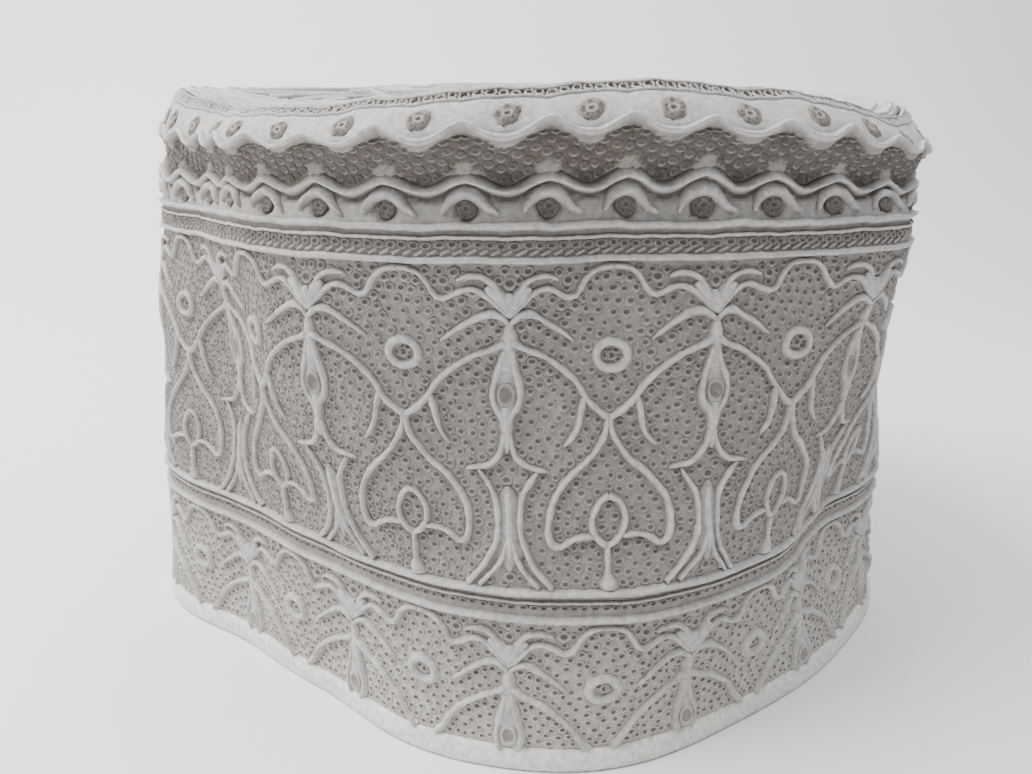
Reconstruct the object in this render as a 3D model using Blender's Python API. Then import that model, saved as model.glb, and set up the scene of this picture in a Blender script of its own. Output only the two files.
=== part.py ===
"""A round embroidered cap that stands on its rim.

Units are metres, +Z is up and the front looks towards -Y. The origin is at the middle of the underside's
bounding box, on the surface that the cap stands on.

The cloth is one surface, cloth_point(angle, level). angle is in degrees round the cap from the front
towards +X, and level is the length of cloth from the lower edge. Seen from above, it is a circle of the
head's girth that the rows of FOLDS push in or out. Above the top cord the rows of ROLL lay it over
towards the crown. Each piece is turned as a plain straight ring, and its points are then moved to the
cloth, so a turned ring's radius says how deep a point lies behind the face of the cloth.
"""

from collections import namedtuple
from math import atan2, cos, degrees, exp, hypot, pi, radians, sin

import bmesh
import bpy
from mathutils import Vector

MM = 0.001

# Driving dimensions.
GIRTH = 570 * MM  # for a 57 cm head, measured round the cloth's face
ROLL_START = 101.6 * MM  # level of the top cord, where the wall starts to roll inwards
ROLL_LENGTH = 27 * MM  # cloth from the top cord to the crown's edge
CROWN_HEIGHT = 129.9 * MM  # mean height of the ring round the crown
CROWN_TILT = 7.5 * MM  # the ring is lower than that in front, and higher behind
CROWN_SAG = 3 * MM  # the crown's middle lies this far under its ring
WALL_THICKNESS = 2 * MM
CROWN_THICKNESS = 1.8 * MM
CROWN_UNDERCUT = 4 * MM  # the crown's edge slants inwards, clear of the seam's inner face
SEAM_THICKNESS = 2 * MM
SEAM_WIDTH = 3 * MM  # cloth taken up by the ring between the wall and the crown
BINDING_THICKNESS = 0.8 * MM
BINDING_HEIGHT = 5.5 * MM
RIB_WIDTH = 2.4 * MM
RIB_HEIGHT = 0.9 * MM
SEAM_RIB = 0.7 * MM  # the thin cord along each edge of the seam
SEAM_RIB_TOP = 0.15  # shares of the seam's width at which that cord peaks and ends
SEAM_RIB_END = 0.3
GAP = 0.3 * MM  # between pieces that are sewn together
SIDES = 64  # flats in one turn
PLAN_SHIFT = Vector((0.55 * MM, 0.24 * MM, 0))  # puts the bounding box's middle on the origin

RADIUS = GIRTH / (2 * pi)
ANGLE_STEP = 0.5  # half the span, in degrees, over which the cloth's slope is measured
LEVEL_STEP = 0.5 * MM  # the same along the cloth
MERGE_DISTANCE = 0.01 * MM

# Heights, in mm, at which a fold's five depths hold.
FOLD_HEIGHTS = (0, 32, 74, 97, 118)

# A fold is a soft bump at an angle, spread over some degrees. Its depths, in mm, are how far it pushes the
# cloth out at each of FOLD_HEIGHTS, and lift is how far it raises the crown's ring.
Fold = namedtuple("Fold", "angle spread hem low waist rim brow lift")
FOLDS = (
    Fold(-115, 30, 0, 0, 0, 0, 0, -3),
    Fold(-72, 15, 9, 6.5, 2.5, -1, -3, 0),
    Fold(-50, 14, -6, -7.5, -9.5, -6.5, -8, -3),
    Fold(-30, 14, -7, -7, -2, -2, -2, -2.5),
    Fold(-10, 14, 0, -2, -4, -1, -1, -1),
    Fold(10, 14, 2.5, 2, -4, -6, -5, 2),
    Fold(30, 14, -0.5, 0, 0, -1, -2, 0),
    Fold(50, 14, 1.5, -4.5, 1.5, 5, 3, -4.5),
    Fold(72, 15, 7.5, 5, -1, -2, 1, -3),
    Fold(105, 20, 0, 0, 0, 0, 0, -2),
    Fold(180, 70, -4.5, -1, 2, 1.5, 0, 0),
)

# The roll above the top cord. cloth is mm of cloth above that cord. rise is the share of the height up to
# the crown's ring, and out is mm outwards, in front, where the roll has slumped, and at the sides and back.
RollRow = namedtuple("RollRow", "cloth front_rise front_out back_rise back_out")
ROLL = (
    RollRow(0, 0, 0, 0, 0),
    RollRow(4, 0.16, -2, 0.14, 0),
    RollRow(7, 0.31, -2.4, 0.25, 0.3),
    RollRow(12, 0.49, 0.8, 0.43, 0.8),
    RollRow(16, 0.64, 3, 0.58, 0.8),
    RollRow(19, 0.76, 1.6, 0.69, 0.2),
    RollRow(21.5, 0.85, -0.4, 0.79, -1),
    RollRow(24, 0.91, -2.2, 0.88, -2.6),
    RollRow(27, 1, -4.6, 1, -5),
)
FRONT_EDGES = (0.35, 0.85)  # cosines of the angles between which the front roll fades in

# Levels, in mm, of the cords that ring the wall, and of the plain rows of points between them.
RIB_LEVELS = (32.2, 37.2, 96.3, 101.6)
WALL_LEVELS = (6, 12, 18, 24, 29.5, 45, 53, 61, 69, 77, 85, 91, 105.6, 108.6, 113.6, 117.6, 120.6, 123.1)
LINING_LEVELS = (6, 16, 32, 48, 64, 80, 94, 101.6, 105.6, 108.6, 113.6, 117.6, 120.6, 123.1)

# Rings of the crown as shares of its radius, and which of them are sewn cords.
CROWN_SHARES = (0.97, 0.9, 0.86, 0.82, 0.66, 0.5, 0.46, 0.42, 0.2)
CROWN_RIBS = (0.86, 0.46)
CROWN_UNDER_SHARES = (0.75, 0.45, 0.2)
RIPPLE_HEIGHT = 0.8 * MM  # slack ripples across the crown
RIPPLE_LENGTH = 46 * MM

COTTON = {"side_wall": (0.80, 0.78, 0.75), "hem_binding": (0.86, 0.84, 0.82)}
COTTON |= {"crown_seam": (0.82, 0.80, 0.77), "crown_top": (0.83, 0.81, 0.79)}
COTTON_ROUGHNESS = 0.85


def ease(t):
    """A smooth step from 0 to 1."""
    t = min(max(t, 0), 1)
    return t * t * (3 - 2 * t)


def bump(fold, angle):
    """How much of a fold is felt at an angle, from 0 to 1."""
    away = (angle - fold.angle + 180) % 360 - 180
    return exp(-((away / fold.spread) ** 2))


def fold_depth(fold, height):
    """A fold's depth in mm at a height, eased between the heights in FOLD_HEIGHTS."""
    depths = (fold.hem, fold.low, fold.waist, fold.rim, fold.brow)
    depth = depths[0]
    for i in range(len(depths) - 1):
        low, high = FOLD_HEIGHTS[i], FOLD_HEIGHTS[i + 1]
        depth += (depths[i + 1] - depths[i]) * ease((height / MM - low) / (high - low))
    return depth


def plan_radius(angle, height):
    """The wall's radius at an angle and a height."""
    return RADIUS + MM * sum(bump(fold, angle) * fold_depth(fold, height) for fold in FOLDS)


def ring_height(angle):
    """Height of the crown's edge at an angle: a ring tilted up behind, with the folds' lifts."""
    lift = MM * sum(bump(fold, angle) * fold.lift for fold in FOLDS)
    return CROWN_HEIGHT - CROWN_TILT * cos(radians(angle)) + lift


def roll_at(angle, level):
    """The share of the rise and the outward step of the roll, between the rows of ROLL."""
    cloth = min(max((level - ROLL_START) / MM, 0), ROLL[-1].cloth)
    after = next(i for i in range(1, len(ROLL)) if cloth <= ROLL[i].cloth)
    low, high = ROLL[after - 1], ROLL[after]
    t = (cloth - low.cloth) / (high.cloth - low.cloth)
    row = RollRow(*(a + (b - a) * t for a, b in zip(low, high)))
    start, end = FRONT_EDGES
    front = ease((cos(radians(angle)) - start) / (end - start))
    rise = front * row.front_rise + (1 - front) * row.back_rise
    out = front * row.front_out + (1 - front) * row.back_out
    return rise, out * MM


def cloth_point(angle, level):
    """A point on the face of the cloth."""
    rise, out = roll_at(angle, level)
    height = min(level, ROLL_START) + (ring_height(angle) - ROLL_START) * rise
    radius = plan_radius(angle, height) + out
    turn = radians(angle)
    return Vector((radius * sin(turn), -radius * cos(turn), height)) + PLAN_SHIFT


def cloth_normal(angle, level):
    """The outward normal of the cloth. It is level on the upright wall, so that edges there stay flat."""
    along = cloth_point(angle + ANGLE_STEP, level) - cloth_point(angle - ANGLE_STEP, level)
    if level <= ROLL_START:
        up = Vector((0, 0, 1))
        along.z = 0
    else:
        up = cloth_point(angle, level + LEVEL_STEP) - cloth_point(angle, level - LEVEL_STEP)
    return along.cross(up).normalized()


def drape_on_wall(angle, radius, level):
    """Moves a point of a straight turned ring onto the cloth, as deep behind its face as it was turned."""
    return cloth_point(angle, level) + cloth_normal(angle, level) * (radius - RADIUS)


def crown_edge(angle):
    """Where the crown's cloth meets the seam's inner edge, with the gap between them."""
    edge = cloth_point(angle, ROLL_START + ROLL_LENGTH)
    inwards = -Vector((edge.x, edge.y, 0)).normalized()
    return edge + inwards * GAP


def drape_on_crown(angle, radius, height):
    """Moves a point of a flat turned disc onto the crown: a sagging sheet inside the ring."""
    edge = crown_edge(angle)
    share = radius / RADIUS
    flat = CROWN_HEIGHT + CROWN_TILT * share * -cos(radians(angle))
    lifted = (edge.z - CROWN_HEIGHT + CROWN_TILT * cos(radians(angle))) * share**3
    middle = 1 - share * share
    ripple = RIPPLE_HEIGHT * middle * cos(2 * pi * edge.y * share / RIPPLE_LENGTH)
    z = flat + lifted - CROWN_SAG * middle + ripple + height
    return Vector((edge.x * share, edge.y * share, z))


def turned(profile, name):
    """A mesh made by turning a closed profile of (radius, height) points once round the Z axis."""
    work = bmesh.new()
    corners = [work.verts.new((0, -radius, height)) for radius, height in profile]
    edges = [work.edges.new((a, b)) for a, b in zip(corners, corners[1:] + corners[:1])]
    bmesh.ops.spin(
        work,
        geom=corners + edges,
        cent=(0, 0, 0),
        axis=(0, 0, 1),
        angle=2 * pi,
        steps=SIDES,
        use_merge=True,
    )
    bmesh.ops.remove_doubles(work, verts=work.verts, dist=MERGE_DISTANCE)
    mesh = bpy.data.meshes.new(name)
    work.to_mesh(mesh)
    work.free()
    return mesh


def move_points(mesh, drape):
    """Moves each point of a turned mesh to where drape puts its angle, radius and height."""
    for vertex in mesh.vertices:
        x, y, z = vertex.co
        vertex.co = drape(degrees(atan2(x, -y)), hypot(x, y), z)


def face_outwards(mesh):
    """Turns the faces outwards and splits them into triangles, with no flat slivers left."""
    work = bmesh.new()
    work.from_mesh(mesh)
    bmesh.ops.dissolve_degenerate(work, edges=work.edges, dist=MERGE_DISTANCE)
    bmesh.ops.triangulate(work, faces=work.faces)
    bmesh.ops.recalc_face_normals(work, faces=work.faces)
    work.to_mesh(mesh)
    work.free()


def cotton(name):
    """A matt white cotton."""
    material = bpy.data.materials.new(f"{name}_cotton")
    material.use_nodes = True
    shader = material.node_tree.nodes["Principled BSDF"]
    shader.inputs["Base Color"].default_value = (*COTTON[name], 1)
    shader.inputs["Roughness"].default_value = COTTON_ROUGHNESS
    shader.inputs["Metallic"].default_value = 0
    return material


def piece(name, profile, drape, collection):
    """One piece of the cap: turned from its profile, draped, and given its cloth."""
    mesh = turned(profile, name)
    move_points(mesh, drape)
    face_outwards(mesh)
    mesh.shade_smooth()
    mesh.materials.append(cotton(name))
    made = bpy.data.objects.new(name, mesh)
    collection.objects.link(made)
    return made


def make_side_wall(collection):
    """The embroidered tube, with a rib for each ring cord and a smooth inner face."""
    foot = BINDING_THICKNESS + GAP
    top = ROLL_START + ROLL_LENGTH - SEAM_WIDTH - GAP
    face = [(RADIUS, foot), (RADIUS, top)]
    face += [(RADIUS, level * MM) for level in WALL_LEVELS]
    for level in RIB_LEVELS:
        for step, height in ((-0.5, 0), (0, RIB_HEIGHT), (0.5, 0)):
            face.append((RADIUS + height, level * MM + step * RIB_WIDTH))
    face.sort(key=lambda point: point[1])
    inner = RADIUS - WALL_THICKNESS
    lining = [(inner, level * MM) for level in LINING_LEVELS]
    lining = [(inner, foot), *lining, (inner, top)]
    piece("side_wall", face + lining[::-1], drape_on_wall, collection)


def make_hem_binding(collection):
    """A folded strip that wraps the wall's lower edge and stands flat on the surface."""
    face = RADIUS + GAP + BINDING_THICKNESS
    back = RADIUS - WALL_THICKNESS - GAP - BINDING_THICKNESS
    inside_face = RADIUS + GAP
    inside_back = RADIUS - WALL_THICKNESS - GAP
    top, fold = BINDING_HEIGHT, BINDING_THICKNESS
    profile = [
        (face, 0),
        (face, top),
        (inside_face, top),
        (inside_face, fold),
        (inside_back, fold),
        (inside_back, top),
        (back, top),
        (back, 0),
    ]
    piece("hem_binding", profile, drape_on_wall, collection)


def make_crown_seam(collection):
    """The narrow ladder-stitched ring, with a thin cord along each edge."""
    high = ROLL_START + ROLL_LENGTH
    low = high - SEAM_WIDTH
    back = RADIUS - SEAM_THICKNESS
    cord = RADIUS + SEAM_RIB
    profile = [
        (RADIUS, low),
        (cord, low + SEAM_RIB_TOP * SEAM_WIDTH),
        (RADIUS, low + SEAM_RIB_END * SEAM_WIDTH),
        (RADIUS, high - SEAM_RIB_END * SEAM_WIDTH),
        (cord, high - SEAM_RIB_TOP * SEAM_WIDTH),
        (RADIUS, high),
        (back, high),
        (back, low),
    ]
    piece("crown_seam", profile, drape_on_wall, collection)


def make_crown_top(collection):
    """The round top, with its ringing cords and a smooth underside."""
    face = [(RADIUS * share, RIB_HEIGHT if share in CROWN_RIBS else 0) for share in CROWN_SHARES]
    under = [(RADIUS * share, -CROWN_THICKNESS) for share in CROWN_UNDER_SHARES]
    edge = [(RADIUS - CROWN_UNDERCUT, -CROWN_THICKNESS), (RADIUS, 0)]
    profile = edge + face + [(0, 0), (0, -CROWN_THICKNESS)] + under[::-1]
    piece("crown_top", profile, drape_on_crown, collection)


def main():
    for old in list(bpy.data.objects):
        bpy.data.objects.remove(old)
    collection = bpy.data.collections.new("embroidered_cap")
    bpy.context.scene.collection.children.link(collection)
    make_side_wall(collection)
    make_hem_binding(collection)
    make_crown_seam(collection)
    make_crown_top(collection)


main()
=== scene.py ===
"""Looks of a round embroidered cotton cap: raised cords, pierced eyelets, ladder stitches, light and camera.

Every stitch is charted flat and then laid on the cloth. The wall's chart measures `along` in mm round the
cap from the first stem, towards the right seen from the front, and `level` in mm of cloth up from the lower
edge. The crown's chart measures mm on a flat disc, x to the right and y to the back. A chart point and a
height in mm over the cloth give one place in space, so cords, eyelets and cloth always lie on each other.
"""

from collections import namedtuple
from functools import lru_cache

import bpy
import numpy as np
from mathutils import Matrix, Vector


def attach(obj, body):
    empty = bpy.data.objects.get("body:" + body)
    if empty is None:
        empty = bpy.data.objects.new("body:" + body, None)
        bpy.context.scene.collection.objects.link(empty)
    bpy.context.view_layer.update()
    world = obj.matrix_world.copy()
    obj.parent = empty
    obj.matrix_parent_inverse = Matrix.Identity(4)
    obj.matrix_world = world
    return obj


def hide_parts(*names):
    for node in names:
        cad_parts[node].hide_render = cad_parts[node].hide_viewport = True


bl_info = {
    "name": "Embroidered Cotton Cap",
    "version": (1, 0, 0),
    "blender": (4, 5, 0),
    "location": "View3D > Sidebar > Cap",
    "description": "Dresses a round cotton cap in raised cords, eyelets and ladder stitches",
    "category": "Object",
}

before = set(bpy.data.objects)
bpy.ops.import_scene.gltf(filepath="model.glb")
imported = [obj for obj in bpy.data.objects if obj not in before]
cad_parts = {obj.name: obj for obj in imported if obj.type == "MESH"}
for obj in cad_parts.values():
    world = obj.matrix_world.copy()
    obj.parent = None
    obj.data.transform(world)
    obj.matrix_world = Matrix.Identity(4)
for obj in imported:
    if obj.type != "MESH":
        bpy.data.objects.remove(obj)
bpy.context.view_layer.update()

BODY = "root"
MM = 0.001
CHART_STEP = 0.5  # mm between the points of the wall's table
TURN = 570.0  # mm round the cap, measured at the face of the cloth
RADIUS = TURN / (2 * np.pi)

# The cloth, with the same values as the solid model. Heights, depths and lifts are in mm.
FOLD_HEIGHTS = (0, 32, 74, 97, 118)
# angle, spread, then the depths at those heights, then the lift of the crown's ring
FOLDS = np.array([
    (-115, 30, 0, 0, 0, 0, 0, -3),
    (-72, 15, 9, 6.5, 2.5, -1, -3, 0),
    (-50, 14, -6, -7.5, -9.5, -6.5, -8, -3),
    (-30, 14, -7, -7, -2, -2, -2, -2.5),
    (-10, 14, 0, -2, -4, -1, -1, -1),
    (10, 14, 2.5, 2, -4, -6, -5, 2),
    (30, 14, -0.5, 0, 0, -1, -2, 0),
    (50, 14, 1.5, -4.5, 1.5, 5, 3, -4.5),
    (72, 15, 7.5, 5, -1, -2, 1, -3),
    (105, 20, 0, 0, 0, 0, 0, -2),
    (180, 70, -4.5, -1, 2, 1.5, 0, 0),
])
ROLL_START = 101.6
WALL_TOP = 125.3
SEAM_LOW = 125.6
SEAM_HIGH = 128.6
# cloth above the top cord, then rise and outward step in front, then at the sides and back
ROLL = np.array([
    (0, 0, 0, 0, 0),
    (4, 0.16, -2, 0.14, 0),
    (7, 0.31, -2.4, 0.25, 0.3),
    (12, 0.49, 0.8, 0.43, 0.8),
    (16, 0.64, 3, 0.58, 0.8),
    (19, 0.76, 1.6, 0.69, 0.2),
    (21.5, 0.85, -0.4, 0.79, -1),
    (24, 0.91, -2.2, 0.88, -2.6),
    (27, 1, -4.6, 1, -5),
])
CROWN_HEIGHT = 129.9
CROWN_TILT = 7.5
CROWN_SAG = 3.0
RIPPLE_HEIGHT = 0.8
RIPPLE_LENGTH = 46.0
SEAM_GAP = 0.3
PLAN_SHIFT = np.array((0.55, 0.24, 0.0))

# The pattern's repeats round the wall, and the smaller ones of the rolled edge.
REPEATS = 16
REPEAT = TURN / REPEATS
HALF = REPEAT / 2
FIRST_STEM_ANGLE = -2.15
WAVES = 43
WAVE = TURN / WAVES
FIRST_EYE = 6.4  # mm along, where the first eye of the rolled edge stands
FLOWER_LEVEL = 121.7
EYE_LEVEL = 105.1
FIRST_WAVE = (108.9, 1.3)  # middle level of the lower wavy cord, and how far it swings
SECOND_WAVE = (118.9, 1.35)
EDGE_SPACING = 2.05  # mm between the eyelets of the rolled edge's dark zone
LID = (  # along from the eye, level, width
    (-4.0, 104.0, 0.8), (-3.4, 105.3, 1.5), (-2.3, 106.6, 2.0), (-0.6, 107.4, 2.3), (1.2, 107.2, 2.3),
    (2.6, 106.2, 2.0), (3.8, 104.8, 1.5), (5.2, 103.7, 0.7))

CAMERA_PLACE = (-0.00145, -0.20486, 0.1130)

# How far the hand-drawn pattern strays to the right, in mm, at each of STRAY_LEVELS. The rows are repeats
# counted from the first stem.
STRAY_LEVELS = (12, 42, 68, 90)
STRAYS = np.array([
    (-2, 0, 0, 0, 0),
    (-1.5, 0, 0, -0.3, -0.4),
    (-1, 0, 0.8, -0.5, -0.3),
    (-0.5, 1.0, 0.1, -0.5, -0.4),
    (0, 0.2, 0.3, -0.4, 0),
    (0.5, 0.1, 0.3, -0.4, -0.3),
    (1, 0.5, 1.6, 0.6, 0),
    (1.5, 0, -0.4, 0.2, -0.5),
    (2, 0, 0, 0, 0),
])

WOBBLE_START = 6.0  # mm of level over which the unevenness sets in
# Hand work is never quite even. Waves in one turn of the cap, radians for each mm of level, phase, then how
# far the wave moves the work along, up and outwards, in mm.
WOBBLES = np.array([
    (23, 0.17, 5.2, 0.12, 0.08, 0.06),
    (47, 0.31, 0.0, 0.12, 0.06, 0.08),
    (83, -0.47, 1.7, 0.08, 0.05, 0.06),
    (131, 0.83, 4.1, 0.04, 0.03, 0.04),
    (211, -1.10, 2.6, 0.02, 0.02, 0.03),
])

# A stroke of the pattern is rows of (along, level, width) in mm, and its height as a share of the cords'.
# Strokes on the stem side are drawn once to its right and mirrored, and the loop's about the heart's line.
Stroke = namedtuple("Stroke", "name rows height", defaults=(1.0,))
STEM_SIDE = (
    Stroke("arc", [
        (0.5, 82.7, 1.8), (2.3, 81.6, 1.35), (5, 80.6, 1.3), (7.1, 79.5, 1.3), (9.2, 78.1, 1.3),
        (11.2, 76.3, 1.3), (12.6, 74.5, 1.4), (13.8, 72.7, 1.6), (15.2, 71.1, 1.6), (16.7, 69.9, 1.5),
        (17.8, 69.2, 1.5)]),
    Stroke("hook", [
        (13.3, 73.0, 1.3), (12.9, 71, 1.6), (12.5, 69, 1.4), (11.9, 67, 1.2), (11.0, 65.4, 1.0),
        (10.1, 64.3, 0.5)]),
    Stroke("spindle side", [
        (0.5, 81.4, 1.4), (1.2, 78.4, 1.7), (2.1, 75.7, 1.6), (2.45, 73.2, 1.45), (1.9, 71.1, 1.6),
        (0.8, 69.6, 1.8), (0.5, 68.2, 1.4)]),
    Stroke("foot", [
        (0.5, 66.2, 1.3), (0.8, 64.2, 1.3), (1.5, 62.4, 1.3), (2.7, 61, 1.4), (4.3, 60.3, 1.3),
        (6, 60.1, 1.0), (7.4, 59.8, 0.5)]),
    Stroke("outer cord", [
        (5.3, 59.7, 0.9), (4.2, 58.2, 1.3), (3.3, 56.8, 1.4), (2.5, 55.2, 1.45), (2.15, 53, 1.5),
        (2.05, 50, 1.5), (2.2, 47.5, 1.5), (3.1, 44.9, 1.4), (4.4, 42.4, 1.4), (6.1, 40.2, 1.5),
        (7.6, 38.6, 1.7)]),
    Stroke("leg", [
        (0.5, 47, 1.0), (1.1, 44.2, 1.3), (2.2, 42.2, 1.2), (3.5, 40.6, 1.2), (5.1, 38.7, 1.4)]),
    Stroke("leaf", [
        (0.2, 86, 1.2), (1.4, 87.2, 1.6), (3.4, 87.6, 1.7), (5.4, 86.8, 1.4), (7.6, 85.5, 1.1),
        (9.6, 84.1, 0.9), (11.2, 82.9, 0.5)]),
    Stroke("tulip", [
        (0.3, 88.4, 1.7), (1.2, 89.8, 1.5), (2.2, 91.6, 1.4), (3.2, 93.0, 1.4), (4.8, 93.8, 1.3),
        (6.8, 93.8, 1.1), (8.2, 93.2, 0.6)]),
    Stroke("tulip bed", [
        (0.3, 87.6, 0.8), (0.9, 88.9, 2.4), (1.9, 90.3, 3.2), (2.9, 91.4, 2.6), (3.7, 92.1, 1.4)], 0.95),
    Stroke("arch", [
        (0.4, 87.4, 1.1), (1.6, 88.5, 1.2), (3.0, 89.9, 1.2), (4.4, 91.2, 1.2), (6.2, 91.8, 1.25),
        (8.2, 91.2, 1.25), (9.8, 90.4, 1.25), (11.2, 90.3, 1.3), (12.3, 91.6, 1.3), (13.3, 93.2, 1.3),
        (14.6, 94.4, 1.25), (16.2, 95, 1.2), (17.8, 95.1, 1.2)]),
    Stroke("heart side", [
        (17.6, 69.3, 1.3), (17.4, 67.3, 1.5), (16.6, 65.2, 1.4), (15.3, 63.3, 1.3), (13.6, 61.3, 1.3),
        (11.8, 59.6, 1.3), (10.1, 57.8, 1.4), (8.7, 55.9, 1.5), (7.6, 53.6, 1.5), (7.05, 51, 1.5),
        (7.05, 48.6, 1.6), (7.7, 46.8, 1.7), (8.9, 46.3, 1.5), (10, 47.0, 1.3), (11.4, 47.8, 1.3),
        (13.3, 48.3, 1.3), (15.3, 48.3, 1.3)]),
    Stroke("loop side", [
        (17.8, 55.3, 1.35), (16.5, 54.6, 1.35), (15.5, 52.8, 1.4), (15.1, 50.9, 1.4), (15.5, 48.9, 1.4),
        (16.6, 47.3, 1.4), (17.8, 46.6, 1.5)]),
)
STEM_LINE = (
    Stroke("neck", [(0, 86.3, 1.2), (0, 84.4, 2.4), (0, 82, 2.7), (0, 79.8, 2.9), (0, 77.8, 2.4)], 0.85),
    Stroke("spindle bed", [
        (0, 81.6, 0.7), (0, 79.8, 2.6), (0, 77.6, 3.8), (0, 75.4, 4.6), (0, 73, 4.9), (0, 70.8, 4.0),
        (0, 69.2, 2.6), (0, 67.8, 0.7)], 0.62),
    Stroke("column bed", [
        (0, 57, 0.6), (0, 55.6, 2.6), (0, 53, 4.0), (0, 49.5, 4.2), (0, 46.6, 4.6), (0, 44.6, 4.2),
        (0, 42.8, 2.2), (0, 41.6, 0.6)], 0.5),
    Stroke("cup bed", [(0, 91.1, 1.4), (0, 90.4, 3.8), (0, 89.4, 4.8), (0, 88.2, 3.6), (0, 87, 1.0)], 0.9),
    Stroke("stem", [
        (0, 71.2, 2.2), (0, 69.8, 3.0), (0, 68, 2.6), (0, 66, 2.4), (0, 64.2, 1.6), (0, 63, 0.5)]),
    Stroke("middle cord", [
        (0, 55.8, 1.2), (0, 54.8, 2.1), (0, 50, 2.3), (0, 46.6, 2.3), (0, 45, 1.7), (0, 43.9, 0.6)]),
)
HEART_LINE = (
    Stroke("heart stalk", [
        (17.8, 46.9, 1.4), (17.9, 44.5, 1.5), (17.95, 42, 1.7), (18, 40.2, 2.6), (18, 38.6, 4.0)]),
)
RING_CENTRE = (17.8, 80.4)
RING_RADII = (2.75, 2.35)
RING_WIDTH = 1.6
# Single round eyelets of the pattern: along, level, radius.
MAIN_SPOTS = (
    (0, 92.7, 1.5), (10.1, 93.3, 1.35), (-10.1, 93.3, 1.35), (0, 58.1, 1.2), (0.1, 40.5, 1.5),
    (*RING_CENTRE, 1.2))
OVAL = (0, 73.5, 1.7)  # the sunk oval of the spindle
BAND_LOW = 38.2
BAND_HIGH = 95.8

# The lower band repeats the top half of the main band, drawn longer and cut off by the hem.
LOW_BAND_TOP = 32.1
LOW_BAND_STRETCH = 1.075
LOW_BAND_HEM = 4.2
LOW_BAND_WIDER = 1.12
LOW_BAND_STROKES = 75  # mm of level on the main band, up to which a stroke has no place on the lower one
LOW_RING_CENTRE = (17.8, 17.8)
LOW_SPOTS = ((*LOW_RING_CENTRE, 1.25), (0, 7.6, 1.2))

RING_CORDS = ((32.2, 1.5), (37.6, 1.7), (96.4, 1.3), (101.8, 1.5))  # level and width of each
# Levels of the three rows of ladder stitches.
LOW_LADDER = 34.7
HIGH_LADDER = 98.8
SEAM_LADDER = 127.05

# Sections that are carried round the cap, as (level, height, lift).
HEM_SECTION = [(level, height, 0.9) for level, height in (
    (0, 0.1), (0.12, 0.6), (0.5, 0.92), (1.3, 1.0), (2.4, 0.86), (3.4, 0.62), (4.2, 0.3), (4.7, -0.3),
    (4.6, -0.5), (0.85, -0.5), (0.85, -2.15), (5.2, -2.2),
    (5.45, -2.5), (5.1, -2.95), (3, -3.08), (0.6, -3.0), (0.12, -2.8), (0, -2.3))]
SEAM_SECTION = (
    (125.6, -0.35, 0.8), (125.68, 0.0, 0.9), (125.9, 0.1, 1.0), (126.1, 0.0, 0.85), (126.25, -0.35, 0.6),
    (126.6, -0.5, 0.45), (127.7, -0.5, 0.45), (128.0, -0.35, 0.6), (128.15, 0.0, 0.85), (128.32, 0.12, 1.0),
    (128.5, 0.05, 0.9), (128.6, -0.2, 0.7), (128.6, -1.9, 0.5), (125.6, -1.9, 0.5))

# The crown's strokes, as (x, y, width) in mm. Each is drawn once towards the front and turned round.
PETAL = (
    (0, -48.5, 1.3), (2.6, -53, 1.3), (4.9, -59, 1.35), (5.4, -65, 1.4), (4.0, -70.5, 1.4), (1.9, -74, 1.3),
    (0, -75.8, 1.2))
VEIN = ((0, -52, 0.6), (0, -58, 1.6), (0, -64, 1.7), (0, -70, 0.6))
ROSETTE = (
    (0, -9.5, 1.3), (3.0, -15, 1.3), (6.6, -22, 1.4), (7.4, -28, 1.4), (4.6, -33.5, 1.4), (0, -37, 1.3))
LANCE = ((0, -15, 0.6), (0, -22, 2.0), (0, -28, 2.0), (0, -33, 0.6))
CROWN_RINGS = ((88.3, 1.2), (85.2, 1.2), (79.2, 1.5), (41.7, 1.6), (6.2, 1.3))  # radius and width
PETAL_GROUND = (42.6, 78.3)  # nearest and farthest eyelets round the petals, in mm from the middle
ROSETTE_GROUND = (7.2, 40.7)  # the same inside the rosette's ring
DOT_DISTANCE = 72.5  # mm from the middle to the small rings between the petals
DOT_RADIUS = 2.4
DOT_WIDTH = 1.25

# A shape on a chart: points (N, 3), how high each point stands on the thread from 0, in a hole, to 1, and
# faces as quads and triangles with a chart of their own in mm at every corner. That height, the lift, also
# sets the colour. A low lift is darker: painted shade in the holes, in recesses and at the feet of cords,
# as well as the ground's own greyer tone.
Shape = namedtuple("Shape", "points lift quads quad_uv tris tri_uv", defaults=(
    np.zeros((0, 3), int), np.zeros((0, 3, 2))))
FLIPPED = [0, 3, 2, 1]  # the order of a quad's corners that turns it to its other side

# Sections of a raised cord and of a thin thread: share of the half width, share of the height, and lift. The
# lift falls towards the edges, which paints shade at the foot of the cord.
CORD_SECTION = np.array([
    (-1.4, -0.8, 0.33), (-0.86, 0.04, 0.52), (-0.45, 0.8, 0.9), (0.0, 1.0, 1.0), (0.45, 0.8, 0.9),
    (0.86, 0.04, 0.52), (1.4, -0.8, 0.33)])
THREAD_SECTION = np.array([
    (-1.3, -0.8, 0.4), (-0.7, 0.6, 0.85), (0.0, 1.0, 1.0), (0.7, 0.6, 0.85), (1.3, -0.8, 0.4)])
FULL_WIDTH = 1.2  # mm of width from which a cord stands at its full height
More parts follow.
